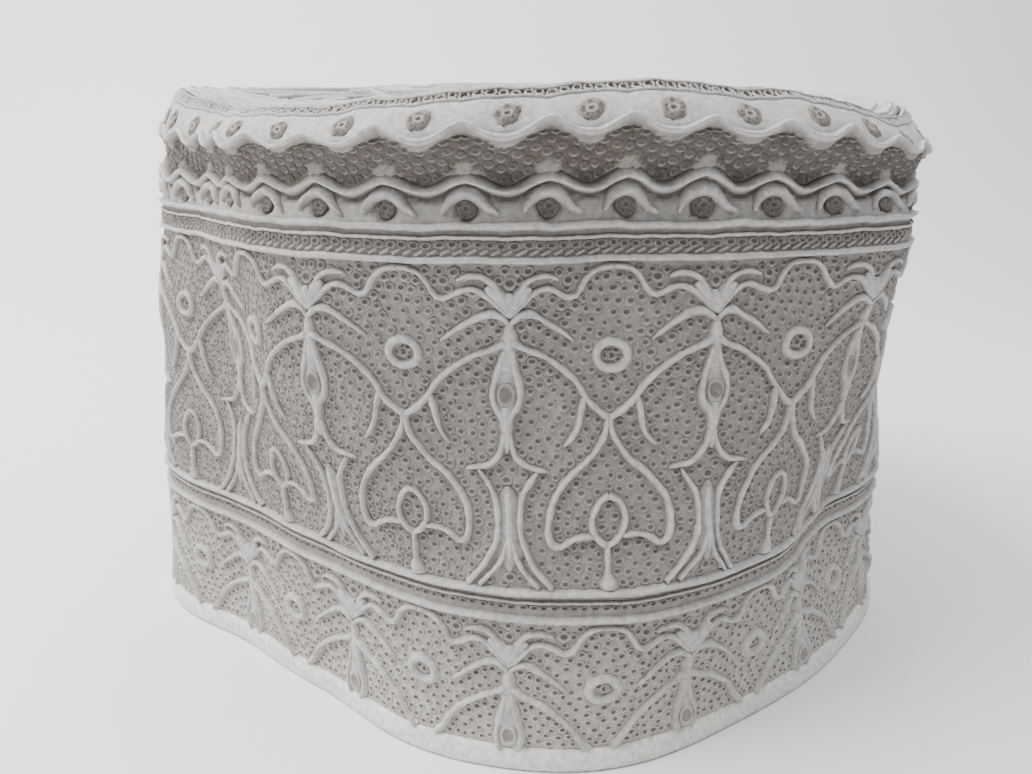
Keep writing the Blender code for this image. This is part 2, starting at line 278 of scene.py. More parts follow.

# Rings of an eyelet from its hole outwards: share of its radius, height in mm, lift. First the bands' small
# eyelets and single round ones, then those of the dark zone, the ladder rows and the seam, the spindle's
# oval, and the rolled edge's eyes, the pricks in them, and its flowers. The low lift at a hole is painted
# shade of the dark inside; the dark zone's rings are darker still, partly as painted shade under the roll.
EYELET_RINGS = ((0.4, -0.36, 0.08), (0.62, -0.24, 0.37), (1.0, -0.48, 0.33))
SPOT_RINGS = ((0.42, -0.35, 0.06), (0.66, -0.18, 0.38), (1.0, -0.52, 0.3))
EDGE_RINGS = ((0.36, -0.95, 0.0), (0.62, -0.83, 0.1), (1.0, -1.12, 0.05))
LADDER_RINGS = ((0.46, -0.28, 0.04), (0.7, -0.06, 0.33), (1.0, -0.5, 0.26))
SEAM_RINGS = ((0.56, -0.4, 0.0), (0.78, 0.04, 0.76), (1.0, -0.45, 0.7))
OVAL_RINGS = ((0.68, 0.42, 0.16), (0.86, 0.5, 0.56), (1.0, 0.3, 0.62))
EYE_RINGS = ((0.14, -0.2, 0.02), (0.3, -0.02, 0.2), (0.46, -0.1, 0.1), (0.8, -0.1, 0.14), (1.0, -0.7, 0.08))
PRICK_RINGS = ((0.5, -0.06, 0.0), (0.8, 0.0, 0.2), (1.2, -0.16, 0.13))
FLOWER_RINGS = (
    (0.2, -0.2, 0.04), (0.34, 0.1, 0.6), (0.5, -0.08, 0.16), (0.9, -0.1, 0.18), (1.05, -0.5, 0.3))
ROW_DEPTH = 0.25  # mm by which the eyelets of one row may differ in their distance to the cord
REPEAT_EDGE = 4  # mm beyond a repeat's sides from which its neighbours' cords are felt

# Seeds of the small chance differences.
BAND_SEED = 11
EDGE_SEED = 23
CROWN_SEED = 31

# The floor's section and the place that the lights face, in m.
FLOOR_FRONT = -5.0
FLOOR_SIDE = 6
BEND_START = 0.25
BEND_RADIUS = 0.45
WALL_RISE = 2.0
LIGHT_AIM = (0, 0, 0.03)


def ease(t):
    """A smooth step: three times t squared less twice t cubed, with t held between 0 and 1."""
    t = np.clip(t, 0, 1)
    return t * t * (3 - 2 * t)


def felt_folds(angle):
    """How much of each fold is felt at an angle: e to the minus square of the distance over the spread."""
    away = (np.asarray(angle)[..., None] - FOLDS[:, 0] + 180) % 360 - 180
    return np.exp(-((away / FOLDS[:, 1]) ** 2))


def fold_depth(angle, height):
    """Sum of the folds' depths in mm, each depth eased between the heights in FOLD_HEIGHTS."""
    depths = felt_folds(angle) @ FOLDS[:, 2:7]
    total = depths[..., 0]
    for i in range(len(FOLD_HEIGHTS) - 1):
        low, high = FOLD_HEIGHTS[i], FOLD_HEIGHTS[i + 1]
        total = total + (depths[..., i + 1] - depths[..., i]) * ease((height - low) / (high - low))
    return total


def wall_face(angle, level):
    """A place on the wall's face in mm.

    Up to the top cord the height is the level. Above it the roll's rise shares out the height that is left
    up to the crown's ring. The radius is the girth's, plus the folds' depths and the roll's outward step.
    """
    cloth = np.clip(level - ROLL_START, 0, ROLL[-1, 0])
    front = ease((np.cos(np.radians(angle)) - 0.35) / 0.5)
    front_rise, front_out, side_rise, side_out = (
        np.interp(cloth, ROLL[:, 0], column) for column in ROLL.T[1:])
    rise = front * front_rise + (1 - front) * side_rise
    out = front * front_out + (1 - front) * side_out
    ring = CROWN_HEIGHT - CROWN_TILT * np.cos(np.radians(angle)) + felt_folds(angle) @ FOLDS[:, 7]
    height = np.minimum(level, ROLL_START) + (ring - ROLL_START) * rise
    radius = RADIUS + fold_depth(angle, height) + out
    turn = np.radians(angle)
    return np.stack([radius * np.sin(turn), -radius * np.cos(turn), height], -1) + PLAN_SHIFT


@lru_cache
def wall_table():
    """Places and outward normals of the wall on an even grid of levels and distances round the cap.

    Each level's outline is measured and shared out so that equal steps along the chart are equal lengths
    of cloth. Low sines of both chart directions pucker it, and a running mean over 3 mm of level rounds
    the corners of the roll. A normal is the cross product of the steps along and up.
    """
    angles = np.linspace(-180, 180, 1441)
    levels = np.arange(0, SEAM_HIGH + 1.5, CHART_STEP)
    along = np.arange(0, TURN, CHART_STEP)
    outline = wall_face(angles[None], levels[:, None])
    lengths = np.linalg.norm(np.diff(outline, axis=1), axis=-1).cumsum(1)
    shares = np.pad(lengths / lengths[:, -1:], ((0, 0), (1, 0)))
    starts = [np.interp(FIRST_STEM_ANGLE, angles, row) for row in shares]
    even = np.array([
        np.interp((along / TURN + start) % 1, row, angles) for start, row in zip(starts, shares)])
    places = wall_face(even, levels[:, None])
    reach = 3
    padded = np.pad(places, ((2 * reach, 2 * reach), (0, 0), (0, 0)), mode="reflect", reflect_type="odd")
    for _ in range(2):
        sums = np.cumsum(np.pad(padded, ((1, 0), (0, 0), (0, 0))), axis=0)
        padded = (sums[2 * reach + 1:] - sums[: -2 * reach - 1]) / (2 * reach + 1)
    places = padded
    normals = chart_normals(places)
    turn = 2 * np.pi * along[None] / TURN
    rise = levels[:, None]
    pucker = 0.30 * np.sin(9 * turn + 0.07 * rise) + 0.22 * np.sin(16 * turn - 0.13 * rise + 1)
    pucker = pucker + 0.16 * np.sin(31 * turn + 0.21 * rise + 2) * np.sin(0.11 * rise)
    places = places + normals * (pucker * ease(rise / 12))[..., None]
    return places, chart_normals(places)


def chart_normals(places):
    """Unit normals of a grid that closes round the cap: the step along, crossed with the step up."""
    across = np.roll(places, -1, axis=1) - np.roll(places, 1, axis=1)
    normals = np.cross(across, np.gradient(places, axis=0))
    return normals / np.linalg.norm(normals, axis=-1, keepdims=True)


def wobbled(chart):
    """Chart points moved as WOBBLES says: each row's sine of the place, times its three amounts, summed and
    eased off towards the lower edge, which stands flat."""
    turn = 2 * np.pi * chart[:, 0] / TURN
    waves = np.sin(np.outer(turn, WOBBLES[:, 0]) + np.outer(chart[:, 1], WOBBLES[:, 1]) + WOBBLES[:, 2])
    return chart + waves @ WOBBLES[:, 3:] * ease(chart[:, 1:2] / WOBBLE_START)


def on_wall(chart):
    """Chart points (along, level, height) laid on the wall: the grid's place plus height times its normal,
    both blended in a straight line between the grid's four nearest points."""
    places, normals = wall_table()
    chart = wobbled(chart)
    rows = np.clip(chart[:, 1] / CHART_STEP, 0, len(places) - 1.001)
    columns = (chart[:, 0] % TURN) / CHART_STEP
    i, j = rows.astype(int), columns.astype(int)
    v, u = (rows - i)[:, None], (columns - j)[:, None]
    right = (j + 1) % places.shape[1]
    j = j % places.shape[1]

    def blended(grid):
        """The grid's values between its points."""
        low, high = (grid[row, j] * (1 - u) + grid[row, right] * u for row in (i, i + 1))
        return low * (1 - v) + high * v

    return blended(places) + blended(normals) * chart[:, 2:3]


@lru_cache
def crown_rim():
    """Angles and places, in order of angle, of the line where the crown meets the seam's upper edge."""
    along = np.arange(0, TURN, CHART_STEP)
    edge = on_wall(np.stack([along, 0 * along + SEAM_HIGH, 0 * along - SEAM_GAP], -1))
    x, y = (edge - PLAN_SHIFT)[:, :2].T
    angle = np.degrees(np.arctan2(x, -y))
    order = np.argsort(angle)
    return angle[order], edge[order]


def crown_face(x, y):
    """A place on the crown's face in mm, from a point of the flat disc.

    The disc's radius is shared out to the seam's inner edge. The height is a tilted plane through the ring,
    lifted towards the edge as the ring is, less a sag and plus slack ripples that fade at the edge.
    """
    angle = np.degrees(np.arctan2(x, -y))
    share = np.hypot(x, y) / RADIUS
    known, rim = crown_rim()
    edge = np.stack([np.interp(angle, known, column, period=360) for column in rim.T], -1)
    plan = edge[..., :2]
    slope = CROWN_TILT * np.cos(np.radians(angle))
    flat = CROWN_HEIGHT - slope * share
    lifted = (edge[..., 2] - CROWN_HEIGHT + slope) * share**3
    middle = 1 - share * share
    ripple = RIPPLE_HEIGHT * middle * np.cos(2 * np.pi * plan[..., 1] * share / RIPPLE_LENGTH)
    height = flat + lifted - CROWN_SAG * middle + ripple
    return np.concatenate([plan * share[..., None], height[..., None]], -1)


def on_crown(chart):
    """Chart points (x, y, height) laid on the crown: the place plus height times the normal, which is the
    cross product of small steps in x and y."""
    x, y = chart[:, 0], chart[:, 1]
    step = 0.2
    ahead = crown_face(x + step, y) - crown_face(x - step, y)
    back = crown_face(x, y + step) - crown_face(x, y - step)
    normal = np.cross(ahead, back)
    normal /= np.linalg.norm(normal, axis=-1, keepdims=True)
    return crown_face(x, y) + normal * chart[:, 2:3]


def strayed(chart):
    """Chart points moved along by the hand-drawn pattern's stray, blended between the repeats' rows and
    between STRAY_LEVELS. Repeats with no row of their own stray by sines of their number."""
    repeat = (chart[:, 0] / REPEAT + REPEATS / 2) % REPEATS - REPEATS / 2
    known = [np.interp(repeat, STRAYS[:, 0], STRAYS[:, column]) for column in range(1, 5)]
    waves = [0.4 * np.sin(2.4 * repeat + phase) * np.cos(0.9 * repeat) for phase in (0, 1.5, 3, 4.5)]
    seam = ease((np.abs(repeat) - 1.6) / 1.2) * ease((REPEATS / 2 - np.abs(repeat)) / 1)
    strays = np.array(known) + np.array(waves) * seam
    level = np.clip(chart[:, 1], STRAY_LEVELS[0], STRAY_LEVELS[-1])
    moved = chart.copy()
    for i in range(len(STRAY_LEVELS) - 1):
        low, high = STRAY_LEVELS[i], STRAY_LEVELS[i + 1]
        inside = (level >= low) & (level <= high)
        share = ease((level - low) / (high - low))
        stray = strays[i] * (1 - share) + strays[i + 1] * share
        moved[:, 0] = np.where(inside, chart[:, 0] + stray, moved[:, 0])
    return moved


def on_strayed_wall(chart):
    """Chart points laid on the wall where the hand-drawn pattern has strayed to."""
    return on_wall(strayed(chart))


def full_turn(count):
    """Angles in radians that share out a full turn evenly."""
    return np.arange(count) * 2 * np.pi / count


def slipped(chance, places, radius, slip, least=0.88, most=1.1):
    """Places that slip by chance, as in hand work, and their radii times a chance share."""
    places = places + chance.normal(0, slip, places.shape)
    return places, radius * chance.uniform(least, most, len(places))


def joined(shapes):
    """Several shapes as one, with each one's face numbers moved past the points before it."""
    starts = np.cumsum([0] + [len(shape.points) for shape in shapes[:-1]])
    moved = [
        shape._replace(quads=shape.quads + start, tris=shape.tris + start)
        for shape, start in zip(shapes, starts)
    ]
    return Shape(*(np.concatenate(parts) for parts in zip(*moved)))


def repeated(shape, copies):
    """A shape whose points are given for each of its copies as (copies, N, 3), with faces for every one."""
    count, size = copies.shape[:2]
    starts = (np.arange(count) * size)[:, None, None]
    return Shape(
        copies.reshape(-1, 3),
        np.tile(shape.lift, count),
        (shape.quads[None] + starts).reshape(-1, 4),
        np.tile(shape.quad_uv, (count, 1, 1)),
        (shape.tris[None] + starts).reshape(-1, 3),
        np.tile(shape.tri_uv, (count, 1, 1)),
    )


def shifted_copies(shape, count, step):
    """A shape set count times along the chart, one step apart."""
    moves = np.zeros((count, 1, 3))
    moves[:, 0, 0] = np.arange(count) * step
    return repeated(shape, shape.points[None] + moves)


def turned(places, angles):
    """Places of the crown's chart turned about its middle by angles in radians."""
    x, y = places[..., 0], places[..., 1]
    return np.stack([np.cos(angles) * x - np.sin(angles) * y, np.sin(angles) * x + np.cos(angles) * y], -1)


def turned_copies(shape, count):
    """A shape turned count times round the middle of the crown's chart."""
    copies = np.tile(shape.points, (count, 1, 1))
    copies[:, :, :2] = turned(shape.points, full_turn(count)[:, None])
    return repeated(shape, copies)


def grid_quads(rows, columns, closed=True):
    """Faces of a grid of points whose columns close into a ring, and its rows too where closed."""
    i = np.arange(rows if closed else rows - 1)[:, None]
    j = np.arange(columns)[None]
    ahead, beside = (i + 1) % rows, (j + 1) % columns
    corners = (i * columns + j, i * columns + beside, ahead * columns + beside, ahead * columns + j)
    return np.stack(corners, -1).reshape(-1, 4)


def grid_chart(rows, columns):
    """A chart of a grid's faces in the order of grid_quads, from where its rows start and end and where its
    columns do."""
    a, b, c, d = np.broadcast_arrays(*(ends[:, None] for ends in rows), *(ends[None] for ends in columns))
    corners = [np.stack(corner, -1) for corner in ((a, c), (a, d), (b, d), (b, c))]
    return np.stack(corners, -2).reshape(-1, 4, 2)


def lengths_along(path):
    """How far along a path each of its rows lies, measured on the chart."""
    return np.r_[0, np.linalg.norm(np.diff(path[:, :2], axis=0), axis=1).cumsum()]


def smooth_path(rows, step, closed=False):
    """Evenly spaced rows on a smooth curve through the given rows.

    Each span is a Catmull-Rom cubic, which leaves a row along the line between its neighbours. The curve is
    then measured and read again at equal lengths.
    """
    rows = np.asarray(rows, float)
    if closed:
        padded = np.vstack([rows[-1:], rows, rows[:2]])
    else:
        padded = np.vstack([2 * rows[0] - rows[1], rows, 2 * rows[-1] - rows[-2]])
    a, b, c, d = (padded[i:len(padded) - 3 + i, None] for i in range(4))
    t = np.linspace(0, 1, 10, endpoint=False)[None, :, None]
    spans = 0.5 * (2 * b + (c - a) * t + (2 * a - 5 * b + 4 * c - d) * t**2 + (3 * b - a - 3 * c + d) * t**3)
    dense = np.vstack([spans.reshape(-1, rows.shape[1]), c[-1]])
    length = lengths_along(dense)
    even = np.linspace(0, length[-1], max(2, round(length[-1] / step)) + 1)
    return np.stack([np.interp(even, length, column) for column in dense.T], -1)


def cord(path, height, closed=False, tuck=0.0, section=CORD_SECTION, pale=1.0):
    """A raised cord: the section is carried along a path of (x, y, width) rows.

    Each point lies to the side by its share of half the width, and stands up by its share of the height,
    which shrinks where the cord is narrow. The open ends are closed with flat caps. Where pale is under 1,
    the top is less pale by that much.
    """
    if closed:
        path = path[:-1]
        heading = np.roll(path, -1, axis=0) - np.roll(path, 1, axis=0)
        heading[:, 0] = (heading[:, 0] + TURN / 2) % TURN - TURN / 2
    else:
        heading = np.gradient(path, axis=0)
    heading = heading[:, :2] / np.linalg.norm(heading[:, :2], axis=1, keepdims=True)
    side = np.stack([heading[:, 1], -heading[:, 0]], -1)
    out, up, lift = section.T
    width = path[:, 2:]
    raised = height * np.minimum(1, (width / FULL_WIDTH) ** 0.7)
    rows, columns = len(path), len(section)
    points = np.zeros((rows, columns, 3))
    points[:, :, :2] = path[:, None, :2] + side[:, None] * (width / 2 * out)[..., None]
    points[:, :, 2] = raised * up - tuck
    lift = np.tile(lift[0] + (lift - lift[0]) * pale, rows)
    length = lengths_along(path)
    starts = length if closed else length[:-1]
    strip = width.mean() / (columns - 1)
    across = np.arange(columns) * strip
    chart = grid_chart((starts, starts + length[1]), (across, across + strip))
    flat = Shape(points.reshape(-1, 3), lift, grid_quads(rows, columns, closed), chart)
    if closed:
        return flat
    fan = np.arange(1, columns - 1)
    start = np.stack([0 * fan, fan + 1, fan], -1)
    end = np.stack([0 * fan, fan, fan + 1], -1) + (rows - 1) * columns
    caps = np.concatenate([start, end])
    return flat._replace(tris=caps, tri_uv=np.zeros((len(caps), 3, 2)))


def mirrored(rows, line=0.0):
    """Path rows mirrored about an upright line of the chart."""
    return [(2 * line - row[0], *row[1:]) for row in rows]


def motif_paths():
    """Every stroke of one repeat as (rows, height share), with the stem side's strokes mirrored too."""
    paths = []
    for stroke in STEM_SIDE:
        line = HALF if stroke.name == "loop side" else 0.0
        paths += [(stroke.rows, stroke.height), (mirrored(stroke.rows, line), stroke.height)]
    return paths + [(stroke.rows, stroke.height) for stroke in STEM_LINE + HEART_LINE]


def ring_path(centre, radii, width, count=24):
    """Rows round an ellipse."""
    turn = full_turn(count)
    x, y = centre[0] + radii[0] * np.cos(turn), centre[1] + radii[1] * np.sin(turn)
    return np.stack([x, y, np.full(count, width)], -1)


def clipped(path, low):
    """The part of a path that lies above a level, or None."""
    kept = path[path[:, 1] >= low]
    return kept if len(kept) > 3 else None


def low_level(level):
    """A level of the main band moved down to the lower band, which is drawn longer below its top cord."""
    return LOW_BAND_TOP - (RING_CORDS[2][0] - level) * LOW_BAND_STRETCH


def low_band(rows):
    """Rows of the main band's top half moved down to the lower band, in slightly wider cords."""
    rows = np.array(rows, float)
    rows[:, 1] = low_level(rows[:, 1])
    rows[:, 2] *= LOW_BAND_WIDER
    return rows


def hand_sewn(path):
    """A path in thinner cord, whose width swells and shrinks by sines of its place on the chart. Narrow cords
    are thinned more than broad ones."""
    x, y, width = path.T
    thin = np.interp(width, (1.8, 2.6), (0.82, 0.88))
    swell = 0.09 * np.sin(2.1 * x + 1.3 * y) + 0.07 * np.sin(1.7 * y - 0.9 * x)
    return np.stack([x, y, width * (thin + swell)], -1)


def band_paths(low, step):
    """The evenly spaced paths of one repeat, as (path, height share, closed), for the main band or for the
    lower one, which is cut off at the hem."""
    paths = []
    for rows, height in motif_paths():
        if low and max(row[1] for row in rows) < LOW_BAND_STROKES:
            continue
        path = hand_sewn(smooth_path(low_band(rows) if low else rows, step))
        if low:
            path = clipped(path, LOW_BAND_HEM)
        if path is not None:
            paths.append((path, height, False))
    centre = LOW_RING_CENTRE if low else RING_CENTRE
    ring = ring_path(centre, RING_RADII, RING_WIDTH * (LOW_BAND_WIDER if low else 1))
    paths.append((smooth_path(ring, step, closed=True), 1.0, True))
    return paths


def band_cords(low, height):
    """All the cords of one band round the cap. Beds, which are lower than cords, are duller too."""
    cords = [
        cord(path, height * share, closed, tuck=0.1, pale=np.interp(share, (0.5, 0.62, 0.8), (0.4, 0.6, 1)))
        for path, share, closed in band_paths(low, 0.95)
    ]
    return shifted_copies(joined(cords), REPEATS, REPEAT)


def eyelets(places, radii, sides, rings=EYELET_RINGS, tall=1.0, pout=0.14):
    """Pierced eyelets: rings of points round each place.

    A ring's radius is a share of the eyelet's, and the inner rings are flatter. The height rises from the
    sunk edge to the thread's lip and falls into the hole, which a fan of triangles closes and whose low lift
    paints its shade. The lip's lower side stands out by pout and is paler, a painted highlight of light from
    above, and its upper side is sunk as much. A flat fan underneath closes the eyelet. tall stretches it
    along the level.
    """
    around = full_turn(sides) - np.pi / 2
    share, height, lift = np.array(rings).T[:, :, None]
    lip = (np.arange(len(rings)) == 1)[:, None]
    low = -np.sin(around)
    x = places[:, 0, None, None] + radii[:, None, None] * share * np.cos(around)
    y = places[:, 1, None, None] - radii[:, None, None] * share * low * tall * (0.55 + 0.45 * share)
    z = np.broadcast_to(height + pout * lip * low, x.shape)
    rims = np.stack([x, y, z], -1).reshape(len(places), -1, 3)
    middle = np.concatenate([places, np.full((len(places), 1), height[0, 0] - 0.03)], 1)[:, None]
    copies = np.concatenate([rims, middle], 1)
    # The lip's lower side gets a higher lift, a painted highlight where light from above would fall.
    lift_with_painted_highlight = lift + 2.2 * pout * lip * np.maximum(low, 0)
    centre = len(rings) * sides
    last = centre - sides
    j = np.arange(sides)
    fan = np.arange(1, sides - 1)
    tris = np.concatenate([
        np.stack([0 * j + centre, j, (j + 1) % sides], -1),
        np.stack([0 * fan + last, fan + 1 + last, fan + last], -1),
    ])
    quads = grid_quads(len(rings), sides, closed=False)[:, FLIPPED]
    flat = np.stack([np.tile(around / np.pi, len(rings)), np.repeat(share, sides)], -1)
    flat = np.vstack([flat, (0, 0)])
    one = Shape(copies[0], np.r_[lift_with_painted_highlight.ravel(), lift[0]], quads, flat[quads], tris, flat[tris])
    return repeated(one, copies)


def chart_grid(left, right, bottom, top, step):
    """Spots of the chart one step apart each way, in rows from the bottom up."""
    rows = np.meshgrid(np.arange(left, right, step), np.arange(bottom, top, step))
    return np.stack(rows, -1).reshape(-1, 2)


def room_at(spots, blocks):
    """Each spot's distance to the nearest block, a row of (x, y, radius)."""
    room = np.full(len(spots), np.inf)
    for part in np.array_split(blocks, max(1, len(blocks) // 60)):
        gaps = np.hypot(*(spots[:, None] - part[None, :, :2]).transpose(2, 0, 1)) - part[None, :, 2]
        room = np.minimum(room, gaps.min(1))
    return room


def packed_rows(spots, room, copies, spacing, margin):
    """Places for eyelets that fill the free cloth in rows along the cords.

    A spot's room is its distance to the nearest cord's edge. The open spot with the least room that lies
    nearest to the last eyelet is taken, and spots closer to it or to its copies than the spacing are shut.
    """
    free = room > margin
    chosen = []
    last = spots[np.argmax(free)]
    while free.any():
        near = np.where(free & (room <= room[free].min() + ROW_DEPTH))[0]
        last = spots[near[np.argmin(np.hypot(*(spots[near] - last).T))]]
        chosen.append(last)
        for copy in copies(last):
            free &= np.hypot(*(spots - copy).T) > spacing
    return np.array(chosen)


def evened(places, spots, period):
    """Moves each place to the middle of the spots that lie nearest to it, six times over, so that all keep
    an even distance. Spots near one side of the repeat may belong to a place near its other side."""
    for _ in range(6):
        copies = np.concatenate([places + (move, 0) for move in (-period, 0, period)])
        nearest = np.concatenate([
            np.argmin(((part[:, None] - copies[None]) ** 2).sum(-1), 1) for part in np.array_split(spots, 60)
        ])
        owner = nearest % len(places)
        away = spots - copies[nearest]
        count = np.bincount(owner, minlength=len(places)).clip(1)
        places = places + np.stack([np.bincount(owner, column, len(places)) / count for column in away.T], -1)
    return places


def beside_copies(period):
    """A function that gives a place and its likes in the repeats to the left and right."""
    return lambda place: [place + np.array((move, 0.0)) for move in (-period, 0, period)]


@lru_cache
def band_eyelet_places(low, spacing):
    """Where the small eyelets of one repeat lie, in the main band or in the lower one."""
    bottom, top = (LOW_BAND_HEM + 1.0, LOW_BAND_TOP - 1.0) if low else (BAND_LOW + 0.4, BAND_HIGH - 0.2)
    grid = chart_grid(0, REPEAT, bottom, top, 0.25)
    blocks = [np.column_stack([path[:, :2], path[:, 2] / 2]) for path, _, _ in band_paths(low, 0.6)]
    blocks.append([(x, y, radius - 0.35) for x, y, radius in band_spots(low)])
    blocks = np.vstack(blocks)
    blocks = np.vstack([blocks + np.array((move * REPEAT, 0, 0)) for move in (-1, 0, 1)])
    near = (blocks[:, 0] > -REPEAT_EDGE) & (blocks[:, 0] < REPEAT + REPEAT_EDGE)
    room = room_at(grid, blocks[near])
    places = packed_rows(grid, room, beside_copies(REPEAT), spacing, margin=0.7)
    return evened(places, grid[room > 0.05], REPEAT)


def along_copies(places, moves):
    """Places repeated at every move along the chart."""
    many = np.tile(places, (len(moves), 1)).astype(float)
    many[:, 0] += np.repeat(moves, len(places))
    return many


def band_spots(low):
    """The single larger eyelets of one repeat, as (along, level, radius)."""
    if not low:
        return MAIN_SPOTS
    return [(x, low_level(level), radius) for x, level, radius in MAIN_SPOTS if level > 85] + [*LOW_SPOTS]


def band_eyelets(low, spacing, radius, start, end):
    """The eyelets of the repeats from start to end, with small seeded differences in place and size, and the
    sunk ovals of their spindles."""
    chance = np.random.default_rng(BAND_SEED + low * 7 + start)
    small = band_eyelet_places(low, spacing)
    spots = np.array(band_spots(low))
    moves = np.arange(start, end) * REPEAT
    shapes = []
    for places, radii, sides, rings in (
        (small, np.full(len(small), radius), 6, EYELET_RINGS),
        (spots[:, :2], spots[:, 2], 10, SPOT_RINGS),
    ):
        many = slipped(chance, along_copies(places, moves), np.tile(radii, len(moves)), 0.09)
        shapes.append(eyelets(*many, sides, rings))
    level = low_level(OVAL[1]) if low else OVAL[1]
    ovals = along_copies(np.array([(OVAL[0], level)]), moves)
    shapes.append(eyelets(ovals, np.full(len(ovals), OVAL[2]), 14, OVAL_RINGS, tall=1.4, pout=0.0))
    return joined(shapes)


def round_band(profile, step, relief=None):
    """A closed profile of (level, height, lift) carried round the cap on the chart.

    The points are the profile's, at even steps along. relief, where given, changes the heights and lifts of
    the whole grid.
    """
    profile = np.asarray(profile, float)
    count = round(TURN / step)
    along = np.arange(count) * TURN / count
    points = np.zeros((len(profile), count, 3))
    points[:, :, 0] = along
    points[:, :, 1:] = profile[:, None, :2]
    lift = np.tile(profile[:, 2:], (1, count))
    if relief:
        points, lift = relief(points, lift)
    length = lengths_along(profile)
    ends = length + np.linalg.norm(np.roll(profile[:, :2], -1, axis=0) - profile[:, :2], axis=1)
    chart = grid_chart((length, ends), (along, along + TURN / count))[..., ::-1]
    return Shape(points.reshape(-1, 3), lift.ravel(), grid_quads(len(profile), count), chart)


def new_object(name, data):
    """A new object in the scene."""
    made = bpy.data.objects.new(name, data)
    bpy.context.scene.collection.objects.link(made)
    return made


def make_piece(name, shape, lay, finish, replaced=()):
    """Lays a shape on its cloth and makes it a piece of the cap, in the named finish."""
    mesh = bpy.data.meshes.new(name)
    mesh.from_pydata(lay(shape.points) * MM, [], shape.quads.tolist() + shape.tris.tolist())
    chart = mesh.uv_layers.new(name="chart")
    corners = np.concatenate([shape.quad_uv.reshape(-1, 2), shape.tri_uv.reshape(-1, 2)])
    chart.data.foreach_set("uv", corners.astype(np.float32).ravel())
    lift = mesh.attributes.new("lift", "FLOAT", "POINT")
    lift.data.foreach_set("value", shape.lift.astype(np.float32))
    mesh.shade_smooth()
    mesh.materials.append(cotton(finish))
    mesh.validate()
    piece = new_object(name, mesh)
    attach(piece, BODY)
    for node in replaced:
        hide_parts(node)


def wave_share(along):
    """The rolled edge's wave: 1 over an eye and -1 halfway between two eyes. Half of it is a cosine and
    half a sine's size turned over, which makes the crests pointed and leaves the troughs round."""
    phase = np.pi * (along - FIRST_EYE) / WAVE
    return 0.5 * np.cos(2 * phase) + 0.5 * (1 - 2 * np.abs(np.sin(phase)))


def first_wave(along):
    """Level of the cord that waves over the eyes."""
    return FIRST_WAVE[0] + FIRST_WAVE[1] * wave_share(along)


def second_wave(along):
    """Level of the cord that waves above the larger eyelets."""
    return SECOND_WAVE[0] + SECOND_WAVE[1] * wave_share(along)


def eyelet_zone(along):
    """Lowest and highest level of the larger eyelets' cloth: between the two wavy cords, less a plain
    wedge over each crest of the first and under each trough of the second."""
    share = wave_share(along)
    low = first_wave(along) + 0.5 + 1.3 * ease((share - 0.3) / 0.7)
    high = second_wave(along) - 0.5 - 1.2 * ease((-share - 0.3) / 0.7)
    return low, high


def wall_relief(points, lift):
    """Heights and lifts of the wall's cloth in the rolled edge.

    Plain cloth stands a little proud and pale, and darker below level 111, which is painted shade. The
    eyelets' zone, the groove under the first wavy cord, the eyes' sockets and the flowers' rounds are sunk
    and duller, with eased borders. The zone's darkening is partly its own duller eyelet ground and partly
    painted shade under the roll's overhang; the groove's and that of the wedges between the two wavy cords
    are painted shade.
    """
    along, level, height = points[:, :, 0], points[:, :, 1], points[:, :, 2]
    first, second = first_wave(along), second_wave(along)
    low, high = eyelet_zone(along)
    zone = ease((level - low) / 1.1) * ease((high - level) / 1.1)
    groove = ease((level - 106.4 - wave_share(along)) / 0.7) * ease((first - level) / 0.7)
    from_eye = (along - FIRST_EYE + WAVE / 2) % WAVE - WAVE / 2
    from_flower = (along - FIRST_EYE) % WAVE - WAVE / 2
    socket = ease((2.6 - np.hypot(from_eye, level - EYE_LEVEL)) / 0.9)
    flower = ease((2.2 - np.hypot(from_flower, level - FLOWER_LEVEL)) / 0.6)
    rolled = (level > ROLL_START + 0.8) & (height > -1) & (level < WALL_TOP - 0.1)
    # Painted shade: this mask darkens the plain wedges between the two wavy cords.
    between = ease((level - first) / 0.8) * ease((second - level) / 0.8)
    sunk = np.maximum.reduce([zone, 0.5 * groove, socket, 0.5 * flower])
    points[:, :, 2] = np.where(rolled, -0.2 - 0.85 * zone - 0.5 * sunk * (1 - zone), height)
    # Darkening by lift: painted shade under the roll's overhang in the zone, together with its own duller
    # eyelet ground; painted shade in the groove and between the wavy cords; and the darker sockets and
    # flowers.
    dull_and_painted_shade = np.maximum.reduce([1.08 * zone, 0.85 * groove, socket, 0.95 * flower, 0.62 * between])
    # Plain cloth darker below level 111: painted shade on the eye row under the first wavy cord.
    plain = 0.8 - 0.12 * ease((111 - level) / 3)
    return points, np.where(rolled, plain - 0.69 * dull_and_painted_shade, lift)


def wall_cloth():
    """The wall's cloth: its face, lower and upper edge and lining as one closed section."""
    face = [(level, -0.45, 0.34) for level in np.arange(1.4, 96, 2.9)]
    # The cloth is a little darker in the upper ladder row and darkest at level 100: painted shadow under the
    # top straight cord.
    face += [(97.2, -0.45, 0.3), (98.6, -0.4, 0.28), (100, -0.45, 0.2), (101.2, -0.3, 0.3)]
    face += [(level, -0.2, 0.92) for level in np.arange(102.4, WALL_TOP - 0.2, 0.75)]
    edge = [(SEAM_LOW - 0.05, -0.25, 0.85), (SEAM_LOW - 0.05, -1.7, 0.5)]
    lining = [(level, -1.95, 0.6) for level in np.arange(WALL_TOP - 1, 2, -8)]
    foot = [(1.1, -1.7, 0.5), (1.1, -0.5, 0.5)]
    return round_band(face + edge + lining + foot, 1.05, wall_relief)


